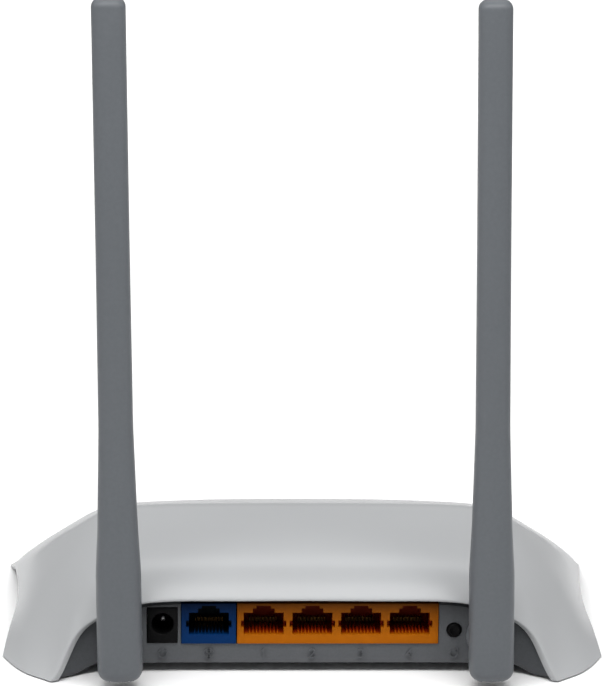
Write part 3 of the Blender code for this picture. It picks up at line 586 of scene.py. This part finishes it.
FINISHES = {
    "shell_plastic": shell_gloss(),
    # the base plastic carries painted shade under the lip
    "base_plastic": grained("base_grain", (0.078, 0.082, 0.088), 0.5, lip_painted_shade=BASE_LIP_PAINTED_SHADE),
    "antenna_plastic": grained("antenna_grain", (0.094, 0.101, 0.11), 0.42, 0.5, 0.008, 0.03),
    # the socket plastics carry painted shade under the lip and inside their mouths
    "wan_plastic": moulded("wan_blue", (0.0004, 0.022, 0.095), 0.42, socket=True),
    "lan_plastic": moulded("lan_orange", (0.34, 0.092, 0.0006), 0.42, socket=True),
    "black_plastic": moulded("black_plastic", (0.003, 0.003, 0.0032), 0.4, 0.15),
    "rubber": rubber(),
    "steel": metal("bright_steel", (0.36, 0.36, 0.36), 0.42),
    "aluminium": metal("aluminium_can", (0.76, 0.76, 0.78), 0.32, (1, 1, 14)),
    # gold plating, its colour darkened well below that of gold as painted shade for the contacts deep inside the
    # sockets
    "gold_plating": metal("gold_plating", (0.3, 0.17, 0.05), 0.4),
    "copper": metal("copper_foil", (0.85, 0.42, 0.24), 0.34),
    "board_laminate": board_mask(),
    "clear_plastic": clear_plastic(),
    "label_film": label_film(),
    "ferrite": grained("ferrite_core", (0.05, 0.05, 0.054), 0.72, 0.3, 0.03, 0.12),
}

# ---------------------------------------------------------------- shell surface


def spline_solver(count, creased=()):
    """Inverse of the cubic B-spline's weights, so that a control net can be found from surface points."""
    weights = np.eye(count)
    for i in range(1, count - 1):
        if i not in creased:
            weights[i, i - 1:i + 2] = (1 / 6, 4 / 6, 1 / 6)
    return np.linalg.inv(weights)


def shell_cage():
    """Control net whose subdivided surface passes through SHELL_SECTIONS."""
    half = np.array(SHELL_SECTIONS, float)
    other = half[:, :0:-1] * (-1, 1, 1)
    points = np.concatenate([other, half], axis=1)
    rows, columns = points.shape[:2]
    return np.einsum("ij,jkc,lk->ilc", spline_solver(rows, (RIDGE_ROW,)), points, spline_solver(columns))


def shell_sheet(name, levels):
    cage = shell_cage()
    rows, columns = cage.shape[:2]
    faces = []
    for row in range(rows - 1):
        for column in range(columns - 1):
            first = row * columns + column
            faces.append((first, first + 1, first + columns + 1, first + columns))
    mesh = bpy.data.meshes.new(name)
    mesh.from_pydata([place(*point) for point in cage.reshape(-1, 3)], [], faces)
    creases = mesh.edge_creases_ensure()
    for edge in mesh.edges:
        if all(vertex // columns == RIDGE_ROW for vertex in edge.vertices):
            creases.data[edge.index].value = 1.0
    made = add(name, mesh)
    surface = made.modifiers.new("surface", "SUBSURF")
    surface.levels = levels
    surface.render_levels = levels
    surface.boundary_smooth = "PRESERVE_CORNERS"
    apply_modifiers(made)
    return made


def space_under_shell(name, depth):
    """Solid that fills everything below the shell's outer surface moved inwards by a depth."""
    sheet = shell_sheet(name, ROOM_LEVELS)
    shape = bmesh.new()
    shape.from_mesh(sheet.data)
    shape.normal_update()
    for vertex, normal in [(vertex, vertex.normal.copy()) for vertex in shape.verts]:
        vertex.co -= normal * depth * MM
    skirt = bmesh.ops.extrude_face_region(shape, geom=shape.faces[:])["geom"]
    for vertex in (item for item in skirt if isinstance(item, bmesh.types.BMVert)):
        vertex.co.z = SKIRT_BOTTOM * MM
    bmesh.ops.recalc_face_normals(shape, faces=shape.faces)
    shape.to_mesh(sheet.data)
    shape.free()
    return sheet


# ---------------------------------------------------------------- housing


def thin_the_lip(shell):
    """Weights for the wall's thickness, which runs out towards the lip over the sockets."""
    group = shell.vertex_groups.new(name="wall")
    for vertex in shell.data.vertices:
        forward = vertex.co.y / MM + MIDDLE_FORWARD
        inward = min(1.0, max(0.0, (forward - LIP_FORWARD[0]) / (LIP_FORWARD[1] - LIP_FORWARD[0])))
        sideways = min(1.0, max(0.0, (abs(vertex.co.x) / MM - LIP_X[0]) / (LIP_X[1] - LIP_X[0])))
        group.add([vertex.index], LIP_SHARE + (1 - LIP_SHARE) * max(inward, sideways), "REPLACE")
    return group.name


def top_shell():
    shell = shell_sheet("top_shell_skin", SHELL_LEVELS)
    wall = shell.modifiers.new("wall", "SOLIDIFY")
    wall.thickness = SHELL_THICKNESS * MM
    wall.offset = -1
    wall.vertex_group = thin_the_lip(shell)
    add_bevel(shell, "rim", RIM_ROUNDING, 3, RIM_ANGLE)
    apply_modifiers(shell)
    posts = together("posts", [
        rod(f"post_{i}", POST_RADIUS, (x, forward, POST_BOTTOM), TALL, sides=SMALL_ROUND)
        for i, (x, forward) in enumerate(POST_PLACES)])
    keep_inside(posts, space_under_shell("post_room", SHELL_THICKNESS / 2))
    join(shell, posts)
    holes = [rod(f"post_hole_{i}", SCREW_HOLE_RADIUS, (x, forward, 0), SCREW_HOLE_TOP, sides=SMALL_ROUND)
             for i, (x, forward) in enumerate(POST_PLACES)]
    windows = [rod(f"window_{i}", WINDOW_RADIUS, (x, forward, WINDOW_START), TALL, sides=SMALL_ROUND)
               for i, (x, forward) in enumerate(WINDOW_PLACES)]
    cut(shell, *holes, *windows, box("table", *TABLE_CUTTER))
    smooth(shell, SHELL_ANGLE)
    finish_piece(shell, FINISHES["shell_plastic"], "housing", "top_shell")


def panel_opening(name, low_node, high_node, top=None):
    """Cutter for an opening that fits the sockets from the low end of one to the high end of another."""
    (left, _), _, (bottom, _) = cad_span(low_node)
    (_, right), _, (_, node_top) = cad_span(high_node)
    return box(name, (left - PANEL_FIT, right + PANEL_FIT), THROUGH_PANEL,
               (bottom - PANEL_FIT, top or node_top + PANEL_FIT))


def panel_hole(name, radius, x, up):
    start, end = THROUGH_PANEL
    return rod(name, radius, (x, start, up), end - start, "Y")


def base_shell():
    outline = both_halves(BASE_HALF_OUTLINE)
    base = prism("base_shell_body", outline, LEG_BOTTOM, ABOVE)
    keep_inside(base, space_under_shell("base_room", SHELL_THICKNESS + SHELL_GAP))
    cut(base, prism("base_hollow", inset(outline, BASE_WALL), FLOOR_TOP, ABOVE + 1))
    cut(base, belly_across())
    cut(base, belly_along())
    tools = [panel_opening("power_window", "power_jack", "power_jack"),
             panel_opening("network_window", "wan_jack", "lan_jack_block", OPENING_TOP),
             panel_hole("button_hole", BUTTON_HOLE_RADIUS, *BUTTON)]
    tools += [panel_hole(f"swivel_hole_{side}", NECK_RADIUS + GAP, side * ANTENNA_X, PIVOT_UP)
              for side in (-1, 1)]
    for tool in tools + floor_tools():
        cut(base, tool)
    for i, (x, forward) in enumerate(POST_PLACES):
        join(base, rod(f"boss_{i}", BOSS_RADIUS, (x, forward, BELLY + BOSS_START), BOSS_HEIGHT))
        cut(base, rod(f"recess_{i}", SCREW_RECESS_RADIUS, (x, forward, 0), BELLY + SCREW_RECESS_DEPTH))
        cut(base, rod(f"boss_hole_{i}", SCREW_HOLE_RADIUS, (x, forward, 0), BOSS_HOLE_TOP,
                      sides=SMALL_ROUND))
    smooth(base, BASE_ANGLE)
    finish_piece(base, FINISHES["base_plastic"], "housing", "base_shell")


def belly_across():
    """Cutter that lifts the belly between the left and the right legs, with a soft slope at each side."""
    inner, outer = LEG_INNER_X
    right = [(outer, BELOW)]
    for t in SLOPE_STEPS:
        fallen = 0.5 - 0.5 * math.cos(math.pi * t)
        right.append((inner + (outer - inner) * t, BELLY - (BELLY - LEG_BOTTOM) * fallen))
    return prism("belly_across", [*right, *((-x, up) for x, up in reversed(right))], *CUTTER_FORWARD, "Y")


def belly_along():
    """Cutter that lifts the belly between the rear and the front legs."""
    rear_leg, rear_belly = LEG_REAR_FORWARD
    front_belly, front_leg = LEG_FRONT_FORWARD
    outline = [(rear_leg, LEG_BOTTOM), (rear_leg, BELOW), (front_leg, BELOW), (front_leg, LEG_BOTTOM),
               (front_belly, BELLY), (rear_belly, BELLY)]
    return prism("belly_along", outline, *CUTTER_X, "X")


def floor_tools():
    """Cutters for the vents, the wall-hanging keyholes and the recesses of the feet."""
    through = FLOOR_TOP + 1
    tools = []
    for number in VENT_NUMBERS:
        x = VENT_PITCH * number
        tools.append(box(f"vent_{number}", (x - VENT_HALF_WIDTH, x + VENT_HALF_WIDTH), VENT_FORWARD,
                         (0, through)))
    for side in (-1, 1):
        tools.append(rod(f"keyhole_{side}", KEYHOLE_RADIUS, (KEYHOLE_X * side, KEYHOLE_FORWARD, 0), through))
    for i in FOOT_NUMBERS:
        x, forward, radius, (_, top) = foot_span(i)
        tools.append(rod(f"foot_recess_{i}", radius + GAP, (x, forward, 0), top + GAP))
    for side in (-1, 1):
        x = KEYHOLE_X * side
        tools.append(box(f"keyhole_slot_{side}", (x - KEYHOLE_SLOT_HALF_WIDTH, x + KEYHOLE_SLOT_HALF_WIDTH),
                         KEYHOLE_SLOT_FORWARD, (0, through)))
    return tools


def foot_span(number):
    """Middle, radius, and lower and upper end of a rubber foot of the CAD model."""
    (left, right), forward, up = cad_span(f"rubber_foot_{number}")
    return (left + right) / 2, sum(forward) / 2, (right - left) / 2, up


def rubber_feet():
    """Each foot has a rounded rim and a shallow round hollow in its underside."""
    for i in FOOT_NUMBERS:
        x, forward, radius, (bottom, top) = foot_span(i)
        foot = rod(f"rubber_pad_{i}", radius, (x, forward, bottom), top - bottom)
        cut(foot, rod("dimple", radius * DIMPLE_SHARE, (x, forward, -1), 1 + DIMPLE_DEPTH))
        round_edges(foot, FOOT_ROUNDING)
        smooth(foot)
        finish_piece(foot, FINISHES["rubber"], "housing", f"rubber_foot_{i}")


# ---------------------------------------------------------------- sockets and button


def port_mouth(name, x):
    """Cutters for one network socket: the stepped mouth and its side notches."""
    start, end = PANEL_FORWARD - MOUTH_START, PANEL_FORWARD + PORT_DEPTH
    right = [(PORT_STEPS[0][0], PORT_BOTTOM), PORT_STEPS[0]]
    for (_, below), (half_width, top) in zip(PORT_STEPS, PORT_STEPS[1:]):
        right += [(half_width, below), (half_width, top)]
    outline = [(x + a, b) for a, b in right] + [(x - a, b) for a, b in reversed(right)]
    half_width, bottom, top, depth = PORT_SIDE_NOTCH
    return [prism(f"{name}_mouth", outline, start, end, "Y"),
            box(f"{name}_notch", (x - half_width, x + half_width), (start, PANEL_FORWARD + depth),
                (bottom, top))]


def comb(name, x):
    """Ribs on the socket's floor that keep the contacts apart, sloping up towards the back."""
    ribs = []
    front, back = (PANEL_FORWARD + depth for depth in RIB_DEPTH)
    low = PORT_BOTTOM - RIB_ROOT
    for number in range(CONTACT_COUNT + 1):
        middle = x + (number - CONTACT_COUNT / 2) * CONTACT_PITCH
        side = [(front, low), (back, low), (back, low + 1.1), (front + 0.6, low + 0.8), (front, low + 0.5)]
        left, right = middle - RIB_HALF_WIDTH, middle + RIB_HALF_WIDTH
        ribs.append(prism(f"{name}_rib_{number}", side, left, right, "X"))
    return ribs


def contact_set(name, x, node):
    """Eight bent spring contacts between the ribs, on one carrier."""
    front, back = PANEL_FORWARD + CONTACT_START, PANEL_FORWARD + PORT_DEPTH - GAP
    low = PORT_BOTTOM + GAP
    half = CONTACT_PITCH * CONTACT_COUNT / 2
    wires = [box(f"{name}_carrier", (x - half, x + half), (back - CARRIER_SIZE, back),
                 (low, low + CARRIER_SIZE))]
    for number in range(CONTACT_COUNT):
        middle = x + (number - (CONTACT_COUNT - 1) / 2) * CONTACT_PITCH
        bend = [(front, low), (front + 0.9, low), (back - 1.3, low + 1.5), (back - 0.9, low + 1.4),
                (back - 0.9, low + 1.8), (back - 1.7, low + 2)]
        sides = (middle - CONTACT_HALF_WIDTH, middle + CONTACT_HALF_WIDTH)
        wires.append(prism(f"{name}_wire_{number}", bend, *sides, "X"))
    made = together(name, wires)
    finish_piece(made, FINISHES["gold_plating"], "housing", node)


def socket_blank(name, node):
    """A socket's outer box, from the panel's face to the back of its CAD node."""
    x, (_, back), up = cad_span(node)
    return box(name, x, (PANEL_FORWARD, back), up)


def network_sockets():
    blocks = (("wan_socket", "wan_jack", "wan_plastic", (("wan_contacts", WAN_PORT_X),)),
              ("lan_socket_block", "lan_jack_block", "lan_plastic",
               tuple((f"lan_contacts_{i}", x) for i, x in enumerate(LAN_PORT_X, 1))))
    for name, node, slot, ports in blocks:
        block = socket_blank(name, node)
        round_edges(block, SOCKET_ROUNDING)
        for contacts, x in ports:
            cut(block, *port_mouth(contacts, x))
        join(block, *(rib for contacts, x in ports for rib in comb(contacts, x)))
        smooth(block)
        finish_piece(block, FINISHES[slot], "housing", node)
        for contacts, x in ports:
            contact_set(f"{contacts}_springs", x, contacts)


def power_socket():
    x, up = DC_HOLE
    jack = socket_blank("power_socket", "power_jack")
    round_edges(jack, DC_ROUNDING)
    cut(jack, rod("power_hole", DC_HOLE_RADIUS, (x, PANEL_FORWARD - MOUTH_START, up),
                  MOUTH_START + DC_HOLE_DEPTH, "Y"))
    cut(jack, rod("power_mouth", DC_MOUTH_RADII[0], (x, PANEL_FORWARD - 0.1, up), DC_MOUTH_DEPTH, "Y",
                  end_radius=DC_MOUTH_RADII[1]))
    smooth(jack)
    finish_piece(jack, FINISHES["black_plastic"], "housing", "power_jack")
    _, (start, end), _ = cad_span("power_jack_pin")
    nose = tuple((start + behind, radius) for behind, radius in DC_PIN_NOSE)
    profile = (*nose, (end, DC_PIN_NOSE[-1][1]), (end, 0))
    pin = turned("power_socket_pin", profile, x, up, SMALL_ROUND)
    smooth(pin, TURNED_ANGLE)
    finish_piece(pin, FINISHES["steel"], "housing", "power_jack_pin")


def reset_button():
    """Dished cap, with a flange behind the panel that stops it from falling out."""
    _, (start, end), _ = cad_span("reset_button")
    flange = PANEL_FORWARD + BASE_WALL + GAP
    behind = flange + BUTTON_FLANGE_WIDTH
    wide, widest, narrow = BUTTON_RADII
    cap = tuple((start + back, radius) for back, radius in BUTTON_CAP)
    stem = ((flange, wide), (flange, widest), (behind, widest), (behind, narrow), (end, narrow), (end, 0))
    button = turned("reset_plunger_cap", cap + stem, *BUTTON)
    smooth(button, TURNED_ANGLE)
    finish_piece(button, FINISHES["black_plastic"], "reset_plunger", "reset_button")


# ---------------------------------------------------------------- antennas


def antenna_half_sizes(up):
    """Half width and half depth at a height, without the rounded ends."""
    heights, widths, depths = zip(*TAPER)
    return float(np.interp(up, heights, widths)), float(np.interp(up, heights, depths))


def rounded_end(rounding):
    """How far up and how far in each ring of a rounded end lies, from its flat face outwards."""
    turns = [math.pi / 2 * i / END_RINGS for i in range(1, END_RINGS + 1)]
    rings = [(rounding * (1 - math.cos(turn)), rounding * (1 - math.sin(turn))) for turn in turns]
    return [(0.0, rounding * END_FACE_SHARE), *rings]


def antenna_rings():
    """Heights of the rings, with the amount that the rounded ends draw each one in."""
    rings = [(ANTENNA_BOTTOM + up, inwards) for up, inwards in rounded_end(TAIL_ROUNDING)]
    rings += [(up, 0.0) for up in ANTENNA_RING_HEIGHTS]
    return rings + [(ANTENNA_TOP - up, inwards) for up, inwards in reversed(rounded_end(TIP_ROUNDING))]


def antenna_blank(name, side):
    rings = antenna_rings()
    shape = bmesh.new()
    loops = []
    for up, drawn_in in rings:
        half_width, half_depth = (size - drawn_in for size in antenna_half_sizes(up))
        loop = []
        for i in range(ROUND):
            angle = 2 * math.pi * (i + 0.5) / ROUND
            across, along = (math.copysign(abs(value) ** (2 / SECTION_POWER), value)
                             for value in (math.cos(angle), math.sin(angle)))
            loop.append(shape.verts.new(place(side * ANTENNA_X + half_width * across,
                                              PIN_FORWARD + half_depth * along, up)))
        loops.append(loop)
    for lower, upper in zip(loops, loops[1:]):
        for i in range(ROUND):
            following = (i + 1) % ROUND
            shape.faces.new((lower[i], lower[following], upper[following], upper[i]))
    shape.faces.new(loops[-1])
    shape.faces.new(loops[0][::-1])
    bmesh.ops.recalc_face_normals(shape, faces=shape.faces)
    return add(name, mesh_from(name, shape))


def lean(piece, side, name):
    """Turns a piece that was made upright about its swivel's axis, as far as the CAD antenna leans."""
    pivot = Matrix.Translation(place(side * ANTENNA_X, 0, PIVOT_UP))
    piece.data.transform(pivot @ Matrix.Rotation(-ANTENNA_LEANS[name], 4, "Y") @ pivot.inverted())


def antenna_covers(side, name):
    """Both halves of an antenna, with a slot for the tongue and rooms for the radiator and the pin."""
    x = side * ANTENNA_X
    reach = 20
    low, high = ANTENNA_BOTTOM - reach, ANTENNA_TOP + reach
    slot = TONGUE_HALF_WIDTH + GAP
    wide, deep = CHANNEL
    for half, kept in (("rear", (PIN_FORWARD - reach, PIN_FORWARD - SEAM)),
                       ("front", (PIN_FORWARD + SEAM, PIN_FORWARD + reach))):
        cover = antenna_blank(f"{name}_{half}_half", side)
        keep_inside(cover, box("half", (x - reach, x + reach), kept, (low, high)))
        cut(cover, box("slot", (x - slot, x + slot), (PIN_FORWARD - TONGUE_RADIUS - GAP, reach),
                       (low, PIVOT_UP + TONGUE_RADIUS + GAP)))
        cut(cover, box("channel", (x - wide, x + wide), (PIN_FORWARD - deep, PIN_FORWARD + deep),
                       (PIVOT_UP, CHANNEL_TOP)))
        cut(cover, rod("pin_seat", PIN_RADIUS + GAP, (x - PIN_HALF_LENGTH - GAP, PIN_FORWARD, PIVOT_UP),
                       2 * (PIN_HALF_LENGTH + GAP), "X", sides=SMALL_ROUND))
        smooth(cover, COVER_ANGLE)
        lean(cover, side, name)
        finish_piece(cover, FINISHES["antenna_plastic"], name, f"{name}_{half}_cover")


def swivel_bracket(side, name):
    """Flange with a rounded rim, a grooved neck behind it and the tongue that carries the hinge pin."""
    x = side * ANTENNA_X
    face, back = FLANGE_FORWARD
    groove_start, groove_end = CLIP_GROOVE
    rim = tuple((face + behind, FLANGE_RADIUS - inside) for behind, inside in FLANGE_RIM)
    flange = ((face, 0), *rim, (back, FLANGE_RADIUS))
    neck = ((back, NECK_RADIUS), (groove_start, NECK_RADIUS), (groove_start, CLIP_GROOVE_RADIUS),
            (groove_end, CLIP_GROOVE_RADIUS), (groove_end, NECK_RADIUS), (NECK_END, NECK_RADIUS),
            (NECK_END, 0))
    bracket = turned(f"{name}_swivel", flange + neck, x, PIVOT_UP)
    root = face + 1
    outline = [(root, PIVOT_UP + TONGUE_RADIUS)]
    for number in range(SMALL_ROUND + 1):
        angle = math.radians(90 + 180 * number / SMALL_ROUND)
        up = PIVOT_UP + TONGUE_RADIUS * math.sin(angle)
        outline.append((PIN_FORWARD + TONGUE_RADIUS * math.cos(angle), up))
    outline.append((root, PIVOT_UP - TONGUE_RADIUS))
    join(bracket, prism("tongue", outline, x - TONGUE_HALF_WIDTH, x + TONGUE_HALF_WIDTH, "X"))
    reach = 8
    cut(bracket, rod("bore", PIN_RADIUS + GAP, (x - reach, PIN_FORWARD, PIVOT_UP), 2 * reach, "X",
                     sides=SMALL_ROUND))
    radius, raised = CABLE_BORE
    cut(bracket, rod("cable_bore", radius, (x, CABLE_BORE_START, PIVOT_UP + raised), TALL, "Y",
                     sides=SMALL_ROUND))
    smooth(bracket)
    lean(bracket, side, name)
    body = name.replace("_antenna", "_swivel")
    finish_piece(bracket, FINISHES["antenna_plastic"], body, f"{name}_swivel_bracket")


# ---------------------------------------------------------------- marks under the sockets

MARK_UP = 6.0
MARK_FORWARD = (PANEL_FORWARD - 0.22, PANEL_FORWARD + 0.2)
STROKE_WIDTH = 0.34
NUMERAL_HALF_HEIGHT = 1.2


def raised_mark(name, pieces):
    """A mark that stands a little proud of the rear panel."""
    made = together(name, pieces)
    smooth(made)
    finish_piece(made, FINISHES["base_plastic"], "housing", None)


def stroke(points):
    """A flat line of even width through (x, up) points, as one solid with mitred corners."""
    closed = math.dist(points[0], points[-1]) < 0.01
    path = [Vector(point) for point in (points[:-1] if closed else points)]
    count = len(path)
    shape = bmesh.new()
    rings = []
    for i, point in enumerate(path):
        before = (point - path[i - 1]).normalized() if closed or i > 0 else None
        after = (path[(i + 1) % count] - point).normalized() if closed or i < count - 1 else None
        along = ((before or after) + (after or before)).normalized()
        across = Vector((-along.y, along.x)) * STROKE_WIDTH / 2 / max(0.4, along.dot(before or after))
        ring = []
        for side, forward in ((1, 0), (-1, 0), (-1, 1), (1, 1)):
            at = point + across * side
            ring.append(shape.verts.new(place(at.x, MARK_FORWARD[forward], at.y)))
        rings.append(ring)
    for first, second in zip(rings, rings[1:] + (rings[:1] if closed else [])):
        for i in range(4):
            following = (i + 1) % 4
            shape.faces.new((first[i], first[following], second[following], second[i]))
    if not closed:
        shape.faces.new(rings[0])
        shape.faces.new(rings[-1][::-1])
    bmesh.ops.recalc_face_normals(shape, faces=shape.faces)
    return [add("stroke", mesh_from("stroke", shape))]


def arc(x, up, radius_x, radius_up, start, end, steps=14):
    angles = (math.radians(start + (end - start) * i / steps) for i in range(steps + 1))
    return [(x + radius_x * math.cos(a), up + radius_up * math.sin(a)) for a in angles]


def port_marks():
    """Generic signs: power, network, the numbers 1 to 4 and an arrow for reset."""
    x = DC_HOLE[0]
    raised_mark("power_sign", stroke(arc(x, MARK_UP, 1.25, 1.25, 125, 415)) + stroke([(x, 6.1), (x, 7.6)]))
    x = WAN_PORT_X
    globe = stroke(arc(x, MARK_UP, 1.35, 1.35, 0, 360, 20)) + stroke(arc(x, MARK_UP, 0.6, 1.35, 0, 360, 16))
    raised_mark("network_sign", globe + stroke([(x - 1.35, MARK_UP), (x + 1.35, MARK_UP)]))
    for number, x in enumerate(LAN_PORT_X, 1):
        raised_mark(f"port_number_{number}", numeral(number, x))
    x = BUTTON[0]
    arrow = [(x + 0.35, 7.05), (x + 1.15, 7.0), (x + 0.95, 7.85)]
    raised_mark("reset_sign", stroke(arc(x, MARK_UP, 1.15, 1.15, 60, -235)) + stroke(arrow))


def numeral(number, x):
    """A plain digit drawn as strokes."""
    low, high = MARK_UP - NUMERAL_HALF_HEIGHT, MARK_UP + NUMERAL_HALF_HEIGHT
    digits = {
        1: [[(x - 0.5, high - 0.55), (x + 0.05, high), (x + 0.05, low)]],
        2: [arc(x, high - 0.62, 0.68, 0.62, 160, -40) + [(x - 0.7, low), (x + 0.75, low)]],
        3: [arc(x - 0.05, MARK_UP + 0.6, 0.62, 0.6, 150, -80),
            arc(x - 0.05, MARK_UP - 0.6, 0.7, 0.62, 80, -150)],
        4: [[(x + 0.35, low), (x + 0.35, high), (x - 0.75, low + 0.75), (x + 0.8, low + 0.75)]],
    }
    return [piece for line in digits[number] for piece in stroke(line)]


# ---------------------------------------------------------------- carried-over CAD pieces


def dress_cad_nodes():
    """CAD nodes that stay get rounded edges and the finish of their slot."""
    slots = {entry["node"]: entry["material_slot"] for entry in frame["record"]["subparts"]}
    for name, node in frame["nodes"].items():
        if node.hide_render:
            continue
        node.data.materials.clear()
        node.data.materials.append(FINISHES[slots[name]])
        weld = node.modifiers.new("weld", "WELD")
        weld.merge_threshold = WELD_DISTANCE * MM
        if not name.endswith("_cable"):
            add_bevel(node, "edges", NODE_ROUNDING, 2, NODE_ANGLE)


# ---------------------------------------------------------------- stage

CAMERA_PITCH = 13.64      # degrees below the horizon
CAMERA_YAW = 1.68         # degrees to the right of straight ahead
CAMERA_ROLL = 0.54        # degrees that the camera leans to its left
CAMERA_LENS = 162.7
CAMERA_SENSOR = 36.0
CAMERA_PLACE = (-26.32, -844.49, 306.29)

FLOOR_RADIUS = 2600.0
FLOOR_DEPTH = 20.0
FLOOR_SIDES = 96
WORLD_STRENGTH = 0.3

# Lights as position, target and size in metres, power in watts and spread in degrees.
LIGHTS = {
    "key_light": ((0, -0.34, 0.6), (0, -0.1, 0.1), (0.7, 0.3), 5.3, 180),
    "left_light": ((-1.0, -0.15, 0.8), (0, 0, 0.05), (0.7, 0.7), 3.2, 180),
    "right_light": ((1.0, -0.15, 0.8), (0, 0, 0.05), (0.7, 0.7), 1.7, 180),
    "backdrop_light": ((0, 1.3, 1.4), (0, 1.3, 0), (2.6, 1.6), 17.0, 100),
}


def stage():
    floor = rod("floor", FLOOR_RADIUS, (0, MIDDLE_FORWARD, -FLOOR_DEPTH), FLOOR_DEPTH, sides=FLOOR_SIDES)
    floor.data.materials.append(pale_floor())

    world = bpy.data.worlds.new("soft_studio")
    bpy.context.scene.world = world
    world.use_nodes = True
    background = world.node_tree.nodes["Background"]
    background.inputs["Color"].default_value = (1.0, 1.0, 1.0, 1.0)
    background.inputs["Strength"].default_value = WORLD_STRENGTH

    for name, settings in LIGHTS.items():
        area_light(name, *settings)


def area_light(name, position, target, size, watts, spread):
    light = bpy.data.lights.new(name, "AREA")
    light.shape = "RECTANGLE"
    light.size, light.size_y = size
    light.energy = watts
    light.spread = math.radians(spread)
    made = bpy.data.objects.new(name, light)
    bpy.context.scene.collection.objects.link(made)
    made.location = position
    made.rotation_euler = (Vector(target) - Vector(position)).to_track_quat("-Z", "Y").to_euler()


def camera():
    data = bpy.data.cameras.new("camera")
    data.lens = CAMERA_LENS
    data.sensor_width = CAMERA_SENSOR
    data.clip_start = 0.01
    data.clip_end = 20
    made = bpy.data.objects.new("camera", data)
    bpy.context.scene.collection.objects.link(made)
    made.location = place(*CAMERA_PLACE)
    aim = Matrix.Rotation(math.radians(-CAMERA_YAW), 4, "Z")
    aim = aim @ Matrix.Rotation(math.radians(90 - CAMERA_PITCH), 4, "X")
    made.rotation_euler = (aim @ Matrix.Rotation(math.radians(CAMERA_ROLL), 4, "Z")).to_euler()
    bpy.context.scene.camera = made


def colour_management():
    settings = bpy.context.scene.view_settings
    settings.view_transform = "Standard"
    settings.look = "None"
    settings.exposure = 0.0


camera()
stage()
colour_management()
top_shell()
base_shell()
rubber_feet()
network_sockets()
power_socket()
reset_button()
for antenna_side, antenna_name in ((-1, "left_antenna"), (1, "right_antenna")):
    antenna_covers(antenna_side, antenna_name)
    swivel_bracket(antenna_side, antenna_name)
port_marks()
dress_cad_nodes()
